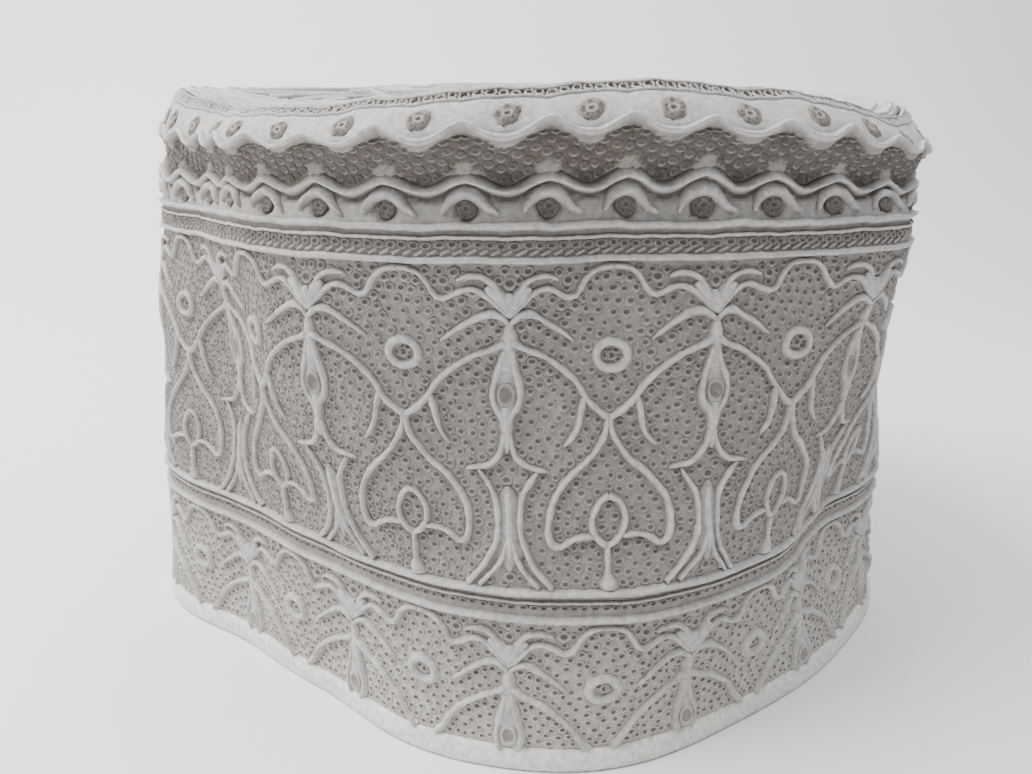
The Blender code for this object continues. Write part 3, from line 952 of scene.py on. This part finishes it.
def hem_relief(points, lift):
    """Slight lumps along the hem's face: a product of three sines, eased off at its foot."""
    turn = 2 * np.pi * points[:, :, 0] / TURN
    lumps = np.sin(110 * turn) * np.sin(67 * turn + 1) + 0.6 * np.sin(191 * turn + 2.0 * points[:, :, 1])
    points[:, :, 2] += 0.07 * lumps * ease(points[:, :, 1] / 1.5) * (points[:, :, 2] > 0)
    return points, lift


def ring_cords(height):
    """The four straight cords round the wall, each a little uneven by a product of two sines."""
    count = round(TURN / 1.1)
    along = np.arange(count + 1) * TURN / count
    turn = 2 * np.pi * along / TURN
    cords = []
    for level, width in RING_CORDS:
        uneven = 0.06 * np.sin(37 * turn + level) * np.sin(11 * turn)
        path = np.stack([along, level + uneven, np.full(count + 1, width)], -1)
        cords.append(cord(path, height, closed=True, tuck=0.2))
    return joined(cords)


def ladder_row(level, pitch, tall, bars=0.0, rings=LADDER_RINGS):
    """A row of upright eyelets one pitch apart with a thin edge line over it, and, where bars says how far
    down they reach, a short slanted bar under each eyelet."""
    count = round(TURN / pitch)
    step = TURN / count
    chance = np.random.default_rng(int(level))
    places = np.stack([(np.arange(count) + 0.5) * step, np.full(count, level)], -1)
    shapes = [eyelets(*slipped(chance, places, step, 0.07, 0.46, 0.54), 8, rings, tall, pout=0.06)]
    along = np.arange(2 * count + 1) * step / 2
    edge_level = level + 0.55 * step + 0.04 * np.cos(along * np.pi / step)
    edge = np.stack([along, edge_level, np.full(len(along), 0.5)], -1)
    shapes.append(cord(edge, 0.3, closed=True, section=THREAD_SECTION))
    if bars:
        slant = smooth_path([(-0.4 * step, -bars, 0.5), (0.35 * step, -0.5 * bars, 0.4)], 0.6)
        bar = cord(slant + (0, level, 0), 0.14, section=THREAD_SECTION, pale=0.25)
        shapes.append(shifted_copies(bar, count, step))
    return joined(shapes)


def eye_lids():
    """The thick lid that bends over each eye and runs out low on its right."""
    lid = cord(smooth_path(LID, 0.6) + (FIRST_EYE, 0, 0), 0.95, tuck=0.05)
    return shifted_copies(lid, WAVES, WAVE)


def wavy_cords():
    """The two wavy cords of the rolled edge."""
    along = np.arange(WAVES * 18 + 1) * WAVE / 18
    cords = []
    for level, width, height in ((first_wave(along), 1.5, 0.9), (second_wave(along), 1.4, 0.75)):
        path = np.stack([along, level, np.full(len(along), width)], -1)
        cords.append(cord(path, height, closed=True))
    return joined(cords)


def zone_eyelet_places():
    """Where the eyelets of one wave's dark zone lie."""
    grid = chart_grid(0, WAVE, EYE_LEVEL + 1.9, FLOWER_LEVEL - 0.7, 0.2)
    low, high = eyelet_zone(grid[:, 0] + FIRST_EYE)
    inside = grid[(grid[:, 1] > low + 0.2) & (grid[:, 1] < high - 0.2)]
    along = np.arange(-REPEAT_EDGE, WAVE + REPEAT_EDGE, 0.4)
    borders = np.concatenate([
        np.stack([along, level, 0 * level], -1) for level in eyelet_zone(along + FIRST_EYE)])
    room = room_at(inside, borders)
    places = packed_rows(inside, room, beside_copies(WAVE), EDGE_SPACING, margin=0.4)
    return evened(places, inside, WAVE) + (FIRST_EYE, 0)


def edge_eyelets():
    """The rolled edge's eyelets: those of the dark zone, a large one in each eye with five pricks round it,
    and a small flower with five more in each trough of the upper cord."""
    chance = np.random.default_rng(EDGE_SEED)
    eye = np.array([(FIRST_EYE, EYE_LEVEL)])
    flower = np.array([(FIRST_EYE + WAVE / 2, FLOWER_LEVEL)])
    turn = full_turn(5) + 0.4
    pricks = eye + 1.3 * np.stack([np.cos(turn), np.sin(turn)], -1)
    petals = flower + np.stack([1.28 * np.cos(turn), 1.45 * np.sin(turn)], -1)
    shapes = []
    for one, radius, sides, rings, tall, pout in (
        (zone_eyelet_places(), 1.15, 7, EDGE_RINGS, 1.0, 0.1),
        (eye, 2.1, 14, EYE_RINGS, 1.08, 0.0),
        (pricks, 0.5, 5, PRICK_RINGS, 1.3, 0.0),
        (flower, 1.9, 12, FLOWER_RINGS, 1.35, 0.0),
        (petals, 0.52, 5, PRICK_RINGS, 1.5, 0.0),
    ):
        many = slipped(chance, along_copies(one, np.arange(WAVES) * WAVE), radius, 0.1, 0.9, 1.06)
        shapes.append(eyelets(*many, sides, rings, tall, pout))
    return joined(shapes)


def crown_cloth():
    """The crown's cloth: rings of points on a disc, from the middle of the face out to its edge and back
    under it to the middle. The grounds of eyelets inside and outside the rosette's ring, which stands at
    the share near, are sunk a little up to the share far."""
    near, far, border, pinhole = 0.45, 0.85, 0.02, 0.012
    shares = np.r_[np.linspace(pinhole, near, 18), np.linspace(0.47, far, 15), np.linspace(0.87, 0.995, 8)]
    sunk = ease((shares - near) / border) * ease((far - shares) / border) + ease((near - shares) / border)
    under = np.linspace(0.95, pinhole, 12)
    radius = RADIUS * np.r_[shares, under]
    height = np.r_[0.05 - 0.48 * sunk, np.full(len(under), -1.75)]
    lift = np.r_[0.95 - 0.62 * sunk, np.full(len(under), 0.6)]
    count = 256
    turn = full_turn(count)
    points = np.zeros((len(radius), count, 3))
    points[:, :, :2] = radius[:, None, None] * np.stack([np.sin(turn), -np.cos(turn)], -1)
    points[:, :, 2] = height[:, None]
    rows = points.reshape(-1, 3)
    quads = grid_quads(len(radius), count, closed=False)[:, FLIPPED]
    ring = np.arange(count)
    after = (ring + 1) % count
    last = len(rows) - count
    tris = np.concatenate([
        np.stack([0 * ring + len(rows), ring, after], -1),
        np.stack([0 * ring + len(rows) + 1, after + last, ring + last], -1),
    ])
    points = np.vstack([rows, (0, 0, height[0]), (0, 0, height[-1])])
    lift = np.r_[np.repeat(lift, count), lift[0], lift[-1]]
    return Shape(points, lift, quads, points[quads][:, :, :2], tris, points[tris][:, :, :2])


def both_sides(rows, step):
    """The smooth paths of a stroke and of its mirror image."""
    return [smooth_path(part, step) for part in (rows, mirrored(rows))]


def dot_path(step, side=1):
    """The small ring to the right of a petal, or, with side -1, to its left."""
    turn = side * np.pi / REPEATS
    centre = (DOT_DISTANCE * np.sin(turn), -DOT_DISTANCE * np.cos(turn))
    return smooth_path(ring_path(centre, (DOT_RADIUS, DOT_RADIUS), DOT_WIDTH), step, closed=True)


def crown_cords():
    """The crown's rings, its sixteen petals with a vein and a small ring each, and the rosette inside."""
    petal, leaf = (
        joined([cord(path, 0.65, tuck=0.1) for path in both_sides(rows, 1.0)]) for rows in (PETAL, ROSETTE))
    shapes = [turned_copies(petal, REPEATS), turned_copies(leaf, REPEATS // 2)]
    for radius, width in CROWN_RINGS:
        rows = ring_path((0, 0), (radius, radius), width, max(24, int(radius * 2)))
        shapes.append(cord(smooth_path(rows, 1.2, closed=True), 0.8, closed=True, tuck=0.15))
    vein, lance = (cord(smooth_path(rows, 0.7), 0.6) for rows in (VEIN, LANCE))
    dot = cord(dot_path(0.7), 0.65, closed=True, tuck=0.1)
    shapes.append(turned_copies(joined([vein, dot]), REPEATS))
    shapes.append(turned_copies(lance, REPEATS // 2))
    return joined(shapes)


def sector_eyelets(count, ground, paths, spacing):
    """Eyelets packed into one of count sectors of the crown, on its ground and clear of the paths."""
    inner, outer = ground
    width = np.pi / count
    grid = chart_grid(-20, 20, -outer, -inner * 0.9, 0.25)
    radius = np.hypot(*grid.T)
    angle = np.abs(np.arctan2(grid[:, 0], -grid[:, 1]))
    grid = grid[(angle < width) & (radius > inner) & (radius < outer)]
    turn = np.linspace(-2 * width, 2 * width, 80)
    rims = [np.stack([rim * np.sin(turn), -rim * np.cos(turn), 0 * turn], -1) for rim in ground]
    blocks = np.vstack(rims + [np.column_stack([path[:, :2], path[:, 2] / 2]) for path in paths])
    beside = np.array((-2, 0, 2)) * width
    room = room_at(grid, blocks)
    return packed_rows(grid, room, lambda place: turned(place, beside), spacing, margin=0.65)


def crown_eyelets(spacing, radius):
    """The eyelets between the crown's petals and inside its rosette."""
    chance = np.random.default_rng(CROWN_SEED)
    outer = both_sides(PETAL, 0.6) + [dot_path(0.6, side) for side in (-1, 1)] + [smooth_path(VEIN, 0.6)]
    inner = both_sides(ROSETTE, 0.6) + [smooth_path(LANCE, 0.6)]
    shapes = []
    for count, ground, paths in ((REPEATS, PETAL_GROUND, outer), (REPEATS // 2, ROSETTE_GROUND, inner)):
        places = sector_eyelets(count, ground, paths, spacing)
        many = turned(np.tile(places, (count, 1)), np.repeat(full_turn(count), len(places)))
        shapes.append(eyelets(*slipped(chance, many, radius, 0.08), 6))
    return joined(shapes)


def new_group(name, inputs, output):
    """An empty group of shader nodes, the sockets that its inputs arrive at, and the one for its output."""
    group = bpy.data.node_groups.new(name, "ShaderNodeTree")
    for label, kind, value in inputs:
        socket = group.interface.new_socket(label, in_out="INPUT", socket_type=f"NodeSocket{kind}")
        if value is not None:
            socket.default_value = value
    label, kind = output
    group.interface.new_socket(label, in_out="OUTPUT", socket_type=f"NodeSocket{kind}")
    given = group.nodes.new("NodeGroupInput")
    result = group.nodes.new("NodeGroupOutput")
    return group, [given.outputs[label] for label, _, _ in inputs], result.inputs[0]


def add_node(tree, kind, sockets, **settings):
    """Adds a node, sets its options, and fills its input sockets with values or with links to outputs."""
    made = tree.nodes.new(f"ShaderNode{kind}")
    for setting, value in settings.items():
        setattr(made, setting, value)
    for label, value in sockets.items():
        if isinstance(value, bpy.types.NodeSocket):
            tree.links.new(value, made.inputs[label])
        else:
            made.inputs[label].default_value = value
    return made


def add_group(tree, name, build, sockets):
    """Adds a node of the named shader group, which is built the first time that it is asked for."""
    return add_node(tree, "Group", sockets, node_tree=bpy.data.node_groups.get(name) or build())


def maths(tree, operation, a, b=0.0):
    """The result of one Math node."""
    return add_node(tree, "Math", {0: a, 1: b}, operation=operation).outputs[0]


def noise(tree, place, scale, detail=3.0):
    """Soft random values between 0 and 1."""
    return add_node(tree, "TexNoise", {"Vector": place, "Scale": scale, "Detail": detail}).outputs[0]


def spread(tree, value, start, end, low=0.0, high=1.0, kind="LINEAR"):
    """A value's way from start to end, given out as the same way from low to high."""
    sockets = {"Value": value, "From Min": start, "From Max": end, "To Min": low, "To Max": high}
    return add_node(tree, "MapRange", sockets, interpolation_type=kind).outputs[0]


def mixed(tree, factor, a, b, blend="MIX"):
    """Colour a mixed with colour b by the factor."""
    sockets = {"Factor": factor, "A": a, "B": b}
    return add_node(tree, "Mix", sockets, data_type="RGBA", blend_type=blend).outputs[2]


def thread_stitches_group():
    """Satin stitches across a cord: ridges one pitch apart along the chart's u, slanted by v and made
    uneven by noise. A ridge is the square root of the sine's size, so each thread is round."""
    group, (chart, pitch, slant, ragged), result = new_group(
        "Thread stitches",
        [
            ("Chart", "Vector", None), ("Pitch", "Float", 0.45), ("Slant", "Float", 0.35),
            ("Ragged", "Float", 0.5),
        ],
        ("Height", "Float"),
    )
    along, across, _ = add_node(group, "SeparateXYZ", {0: chart}).outputs
    slanted = maths(group, "ADD", along, maths(group, "MULTIPLY", across, slant))
    uneven = maths(group, "ADD", slanted, maths(group, "MULTIPLY", noise(group, chart, 1.3, 2.0), ragged))
    phase = maths(group, "DIVIDE", maths(group, "MULTIPLY", uneven, np.pi), pitch)
    ridge = maths(group, "SQRT", maths(group, "ABSOLUTE", maths(group, "SINE", phase)))
    group.links.new(ridge, result)
    return group


def plain_weave_group():
    group, (chart, pitch), result = new_group(
        "Plain weave", [("Chart", "Vector", None), ("Pitch", "Float", 0.4)], ("Height", "Float"))
    sines = []
    for place in add_node(group, "SeparateXYZ", {0: chart}).outputs[:2]:
        phase = maths(group, "DIVIDE", maths(group, "MULTIPLY", place, np.pi), pitch)
        sines.append(maths(group, "SINE", phase))
    warp, weft = (maths(group, "ABSOLUTE", sine) for sine in sines)
    over = maths(group, "GREATER_THAN", maths(group, "MULTIPLY", *sines))
    height = add_node(group, "Mix", {"Factor": over, "A": warp, "B": weft}, data_type="FLOAT")
    group.links.new(height.outputs["Result"], result)
    return group


def used_and_shaded_cotton_group():
    """Colour by how high the thread lies: painted shade in the holes, a darker ground between the cords,
    which is partly the cloth's own greyer tone and partly painted shade in the recesses, and pale on top. The
    ground grows paler towards the hem. Two noises add faint warm patches and fine flecks."""
    group, (lift, place, hole_shade, ground, thread, stain, towards_hem, patches), result = new_group(
        "Used and shaded cotton",
        [
            ("Lift", "Float", 1.0), ("Place", "Vector", None), ("Hole Shade", "Color", None),
            ("Ground", "Color", None), ("Thread", "Color", None), ("Stain", "Color", None),
            ("Towards Hem", "Color", None), ("Patches", "Float", 0.3),
        ],
        ("Colour", "Color"),
    )
    height = add_node(group, "SeparateXYZ", {0: place}).outputs[2]
    # The ground is mixed half way to the hem's colour at the lower edge, less so up to 45 mm.
    ground = mixed(group, spread(group, height, 0.045, 0.0, high=0.5), ground, towards_hem)
    dull_and_painted_shade = mixed(group, spread(group, lift, 0.03, 0.34, kind="SMOOTHSTEP"), hole_shade, ground)
    pale = mixed(group, spread(group, lift, 0.34, 0.92, kind="SMOOTHSTEP"), dull_and_painted_shade, thread)
    patch = spread(group, noise(group, place, 28.0), 0.45, 0.75)
    stained = mixed(group, maths(group, "MULTIPLY", patch, patches), pale, stain, "MULTIPLY")
    fleck = spread(group, noise(group, place, 900.0), 0.3, 0.7, 0.8, 1.16)
    flecked = add_node(group, "VectorMath", {0: stained, "Scale": fleck}, operation="SCALE")
    group.links.new(flecked.outputs[0], result)
    return group


# Each cotton finish: the colour of its threads, its shader group for the bump, mm from one thread to the
# next, and how deep they are in m.
FINISHES = {
    "stitched_thread": ("thread", "Thread stitches", thread_stitches_group, 0.42, 0.00008),
    "eyelet_thread": ("thread", "Thread stitches", thread_stitches_group, 0.3, 0.00005),
    "woven_cotton": ("thread", "Plain weave", plain_weave_group, 0.36, 0.00007),
    "hem_cotton": ("hem", "Plain weave", plain_weave_group, 0.4, 0.00009),
}


def cotton(name):
    """A cotton finish: the colour of used cotton with painted shade and highlights, by the piece's lift, and
    bump from stitches or from weave.
    """
    material = bpy.data.materials.get(name)
    if material:
        return material
    colours = bpy.context.scene.cap_colours
    thread, threads_name, build_threads, pitch, relief = FINISHES[name]
    material = bpy.data.materials.new(name)
    material.use_nodes = True
    tree = material.node_tree
    tree.nodes.clear()
    place = add_node(tree, "TexCoord", {}).outputs["Object"]
    chart = add_node(tree, "UVMap", {}, uv_map="chart").outputs["UV"]
    colour = add_group(tree, "Used and shaded cotton", used_and_shaded_cotton_group, {
        "Lift": add_node(tree, "Attribute", {}, attribute_name="lift").outputs["Fac"],
        "Place": place,
        "Hole Shade": (*colours.hole_shade, 1),
        "Ground": (*colours.ground, 1),
        "Thread": (*getattr(colours, thread), 1),
        "Stain": (*colours.stain, 1),
        "Towards Hem": (*colours.hem, 1),
    })
    threads = add_group(tree, threads_name, build_threads, {"Chart": chart, "Pitch": pitch})
    nap = maths(tree, "MULTIPLY", noise(tree, place, 1100.0), 3.2)
    raised = maths(tree, "ADD", threads.outputs["Height"], nap)
    bump = add_node(tree, "Bump", {"Height": raised, "Strength": 0.7, "Distance": relief})
    shader = add_node(tree, "BsdfPrincipled", {
        "Base Color": colour.outputs["Colour"],
        "Roughness": 0.88,
        "IOR": 1.45,
        "Specular IOR Level": 0.25,
        "Sheen Weight": 0.12,
        "Sheen Roughness": 0.5,
        "Normal": bump.outputs["Normal"],
    })
    add_node(tree, "OutputMaterial", {"Surface": shader.outputs[0]})
    return material


class CapColours(bpy.types.PropertyGroup):
    """Colours of the cotton, from the pale tops of the threads down into the holes."""

    thread: bpy.props.FloatVectorProperty(
        name="Thread", description="Colour of the raised threads", subtype="COLOR", min=0, max=1,
        default=(0.56, 0.543, 0.524))
    # The ground's colour is partly the cloth's own greyer tone and partly painted shade between the cords.
    ground: bpy.props.FloatVectorProperty(
        name="Ground", description="Colour of the cloth between the cords", subtype="COLOR", min=0, max=1,
        default=(0.318, 0.297, 0.279))
    # Painted shade: the dark inside seen through the holes and the thread's shade round them.
    hole_shade: bpy.props.FloatVectorProperty(
        name="Hole Shade", description="Colour inside the holes", subtype="COLOR", min=0, max=1,
        default=(0.12, 0.106, 0.092))
    hem: bpy.props.FloatVectorProperty(
        name="Hem", description="Colour of the folded strip along the lower edge", subtype="COLOR",
        min=0, max=1, default=(0.93, 0.89, 0.84))
    stain: bpy.props.FloatVectorProperty(
        name="Stain", description="Tint of the faint worn patches", subtype="COLOR", min=0, max=1,
        default=(0.86, 0.80, 0.70))


class CapRelief(bpy.types.PropertyGroup):
    """Heights and spacings of the needlework."""

    ring_height: bpy.props.FloatProperty(
        name="Ring cords", description="How far the straight cords stand out", unit="LENGTH",
        default=0.001)
    motif_height: bpy.props.FloatProperty(
        name="Motif cords", description="How far the pattern's cords stand out", unit="LENGTH",
        default=0.0007)
    eyelet_spacing: bpy.props.FloatProperty(
        name="Eyelet spacing", description="Least distance between two small eyelets", unit="LENGTH",
        default=0.00178)
    eyelet_radius: bpy.props.FloatProperty(
        name="Eyelet radius", description="Radius of a small eyelet with its thread", unit="LENGTH",
        default=0.00108)
    ladder_pitch: bpy.props.FloatProperty(
        name="Ladder pitch", description="Distance between two ladder stitches", unit="LENGTH",
        default=0.00203)


class CapStudio(bpy.types.PropertyGroup):
    """The floor, the lights and the camera round the cap."""

    floor: bpy.props.FloatVectorProperty(
        name="Floor", description="Colour of the floor", subtype="COLOR", min=0, max=1,
        default=(0.86, 0.86, 0.87))
    sky: bpy.props.FloatProperty(
        name="Sky", description="Strength of the even light from all round", default=0.2, min=0)
    window: bpy.props.FloatProperty(
        name="Window", description="Power of the large soft light", unit="POWER", default=21, min=0)
    ceiling: bpy.props.FloatProperty(
        name="Ceiling", description="Power of the soft light overhead", unit="POWER", default=13.5, min=0)
    lens: bpy.props.FloatProperty(
        name="Lens", description="Focal length on a 36 mm wide sensor, in mm", default=25.744)
    tilt: bpy.props.FloatProperty(
        name="Tilt", description="How far the camera looks down", unit="ROTATION", default=0.309)
    roll: bpy.props.FloatProperty(
        name="Roll", description="Turn of the camera about its own line of sight", unit="ROTATION",
        default=0.0043)


class MakeWallCloth(bpy.types.Operator):
    """Lay the wall's cloth and its lining"""

    bl_idname = "cap.wall_cloth"
    bl_label = "Wall Cloth"

    def execute(self, context):
        make_piece("wall_cloth", wall_cloth(), on_wall, "woven_cotton", ["side_wall"])
        return {"FINISHED"}


class MakeHem(bpy.types.Operator):
    """Fold the plain strip round the lower edge"""

    bl_idname = "cap.hem"
    bl_label = "Hem Strip"

    def execute(self, context):
        strip = round_band(HEM_SECTION, 1.0, hem_relief)
        make_piece("hem_strip", strip, on_wall, "hem_cotton", ["hem_binding"])
        return {"FINISHED"}


class MakeRingCords(bpy.types.Operator):
    """Sew the straight cords and the ladder stitches between them"""

    bl_idname = "cap.ring_cords"
    bl_label = "Ring Cords"

    def execute(self, context):
        relief = context.scene.cap_relief
        cords = ring_cords(relief.ring_height / MM)
        make_piece("ring_cords", cords, on_wall, "stitched_thread")
        pitch = relief.ladder_pitch / MM
        high = ladder_row(HIGH_LADDER, pitch, tall=0.9, bars=1.6)
        low = ladder_row(LOW_LADDER, pitch * 0.92, tall=0.8)
        make_piece("ladder_stitches", joined([high, low]), on_wall, "stitched_thread")
        return {"FINISHED"}


class MakeBands(bpy.types.Operator):
    """Sew the lower and the main band's raised cords"""

    bl_idname = "cap.bands"
    bl_label = "Pattern Cords"

    def execute(self, context):
        height = context.scene.cap_relief.motif_height / MM
        for name, low in (("lower_band_cords", True), ("main_band_cords", False)):
            cords = band_cords(low, height)
            make_piece(name, cords, on_strayed_wall, "stitched_thread")
        return {"FINISHED"}


class MakeEyelets(bpy.types.Operator):
    """Pierce the small eyelets of both bands"""

    bl_idname = "cap.eyelets"
    bl_label = "Small Eyelets"

    def execute(self, context):
        relief = context.scene.cap_relief
        spacing = relief.eyelet_spacing / MM
        radius = relief.eyelet_radius / MM
        for name, low, start, end in (
            ("lower_band_eyelets", True, 0, REPEATS),
            ("main_band_eyelets_right", False, 0, REPEATS // 2),
            ("main_band_eyelets_left", False, REPEATS // 2, REPEATS),
        ):
            pierced = band_eyelets(low, spacing, radius, start, end)
            make_piece(name, pierced, on_strayed_wall, "eyelet_thread")
        return {"FINISHED"}


class MakeRolledEdge(bpy.types.Operator):
    """Sew the rolled edge's wavy cords, eyes and flowers"""

    bl_idname = "cap.rolled_edge"
    bl_label = "Rolled Edge"

    def execute(self, context):
        cords = joined([wavy_cords(), eye_lids()])
        make_piece("rolled_edge_cords", cords, on_wall, "stitched_thread")
        make_piece("rolled_edge_eyelets", edge_eyelets(), on_wall, "eyelet_thread")
        return {"FINISHED"}


class MakeCrownSeam(bpy.types.Operator):
    """Sew the ladder-stitched ring between the wall and the crown"""

    bl_idname = "cap.crown_seam"
    bl_label = "Crown Seam"

    def execute(self, context):
        ring = round_band(SEAM_SECTION, 1.0)
        make_piece("seam_ring", ring, on_wall, "woven_cotton", ["crown_seam"])
        pitch = context.scene.cap_relief.ladder_pitch / MM
        holes = ladder_row(SEAM_LADDER, pitch, tall=1.4, rings=SEAM_RINGS)
        make_piece("seam_stitches", holes, on_wall, "eyelet_thread")
        return {"FINISHED"}


class MakeCrown(bpy.types.Operator):
    """Lay the crown and sew its rings, petals and eyelets"""

    bl_idname = "cap.crown"
    bl_label = "Crown"

    def execute(self, context):
        relief = context.scene.cap_relief
        make_piece("crown_cloth", crown_cloth(), on_crown, "woven_cotton", ["crown_top"])
        make_piece("crown_cords", crown_cords(), on_crown, "stitched_thread")
        pierced = crown_eyelets(relief.eyelet_spacing / MM * 1.25, relief.eyelet_radius / MM * 1.1)
        make_piece("crown_eyelets", pierced, on_crown, "eyelet_thread")
        return {"FINISHED"}


def make_floor(studio):
    """The floor, whose section is flat from the front to the bend and then bends up into a wall."""
    material = bpy.data.materials.new("pale_floor")
    material.use_nodes = True
    shader = material.node_tree.nodes["Principled BSDF"]
    shader.inputs["Base Color"].default_value = (*studio.floor, 1)
    shader.inputs["Roughness"].default_value = 0.9
    bend = np.linspace(0, np.pi / 2, 25)[1:]
    run = np.r_[0, BEND_RADIUS * np.sin(bend), BEND_RADIUS] + BEND_START
    run = np.r_[FLOOR_FRONT, run]
    rise = np.r_[0, 0, BEND_RADIUS * (1 - np.cos(bend)), WALL_RISE]
    rows = len(run)
    corners = [(side, run[i], rise[i]) for side in (-FLOOR_SIDE, FLOOR_SIDE) for i in range(rows)]
    mesh = bpy.data.meshes.new("floor")
    mesh.from_pydata(corners, [], [(i, i + rows, i + rows + 1, i + 1) for i in range(rows - 1)])
    mesh.shade_smooth()
    mesh.materials.append(material)
    floor = new_object("floor", mesh)


def make_sky(studio):
    """Even light from all round, which is a quarter as strong from low down."""
    world = bpy.data.worlds.new("soft_room")
    world.use_nodes = True
    tree = world.node_tree
    direction = add_node(tree, "TexCoord", {}).outputs["Generated"]
    height = add_node(tree, "SeparateXYZ", {0: direction}).outputs[2]
    dome = spread(tree, height, 0.1, 0.9, 0.25 * studio.sky, studio.sky)
    background = tree.nodes["Background"]
    background.inputs["Color"].default_value = (0.95, 0.97, 1, 1)
    tree.links.new(dome, background.inputs["Strength"])
    bpy.context.scene.world = world


def soft_light(name, place, size, power, colour):
    """A square area light that faces the cap."""
    data = bpy.data.lights.new(name, "AREA")
    data.size = size
    data.energy = power
    data.color = colour
    light = new_object(name, data)
    light.location = place
    light.rotation_euler = (Vector(LIGHT_AIM) - Vector(place)).to_track_quat("-Z", "Y").to_euler()


def make_camera(studio):
    """The camera, tilted down and turned a little about its line of sight."""
    data = bpy.data.cameras.new("camera")
    data.sensor_width = 36
    data.lens = studio.lens
    data.clip_start = 0.01
    camera = new_object("camera", data)
    look = Matrix.Rotation(np.pi / 2 - studio.tilt, 4, "X") @ Matrix.Rotation(studio.roll, 4, "Z")
    camera.matrix_world = Matrix.Translation(CAMERA_PLACE) @ look
    bpy.context.scene.camera = camera


class MakeStudio(bpy.types.Operator):
    """Set up the floor, the soft lights and the camera"""

    bl_idname = "cap.studio"
    bl_label = "Floor, Lights and Camera"

    def execute(self, context):
        studio = context.scene.cap_studio
        make_floor(studio)
        make_sky(studio)
        soft_light("window", (-0.6, 0.0, 0.75), 0.8, studio.window, (1, 0.985, 0.965))
        soft_light("ceiling", (0.18, -0.14, 1.1), 0.9, studio.ceiling, (0.97, 0.985, 1))
        make_camera(studio)
        return {"FINISHED"}


PIECES = (
    MakeWallCloth, MakeHem, MakeRingCords, MakeBands, MakeEyelets, MakeRolledEdge, MakeCrownSeam, MakeCrown,
    MakeStudio,
)


class CapPanel(bpy.types.Panel):
    """Buttons for the cap's pieces, above their sizes and colours"""

    bl_idname = "VIEW3D_PT_embroidered_cap"
    bl_label = "Embroidered Cap"
    bl_space_type = "VIEW_3D"
    bl_region_type = "UI"
    bl_category = "Cap"

    def draw(self, context):
        for piece in PIECES:
            self.layout.operator(piece.bl_idname)
        for group in (context.scene.cap_colours, context.scene.cap_relief, context.scene.cap_studio):
            box = self.layout.box()
            for name in group.__annotations__:
                box.prop(group, name)


CLASSES = (CapColours, CapRelief, CapStudio, *PIECES, CapPanel)


def register():
    for known in CLASSES:
        bpy.utils.register_class(known)
    bpy.types.Scene.cap_colours = bpy.props.PointerProperty(type=CapColours)
    bpy.types.Scene.cap_relief = bpy.props.PointerProperty(type=CapRelief)
    bpy.types.Scene.cap_studio = bpy.props.PointerProperty(type=CapStudio)


def unregister():
    del bpy.types.Scene.cap_studio
    del bpy.types.Scene.cap_relief
    del bpy.types.Scene.cap_colours
    for known in reversed(CLASSES):
        bpy.utils.unregister_class(known)


def main():
    """Registers the add-on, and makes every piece."""
    register()
    bpy.ops.cap.wall_cloth()
    bpy.ops.cap.hem()
    bpy.ops.cap.ring_cords()
    bpy.ops.cap.bands()
    bpy.ops.cap.eyelets()
    bpy.ops.cap.rolled_edge()
    bpy.ops.cap.crown_seam()
    bpy.ops.cap.crown()
    bpy.ops.cap.studio()


if __name__ == "__main__":
    main()
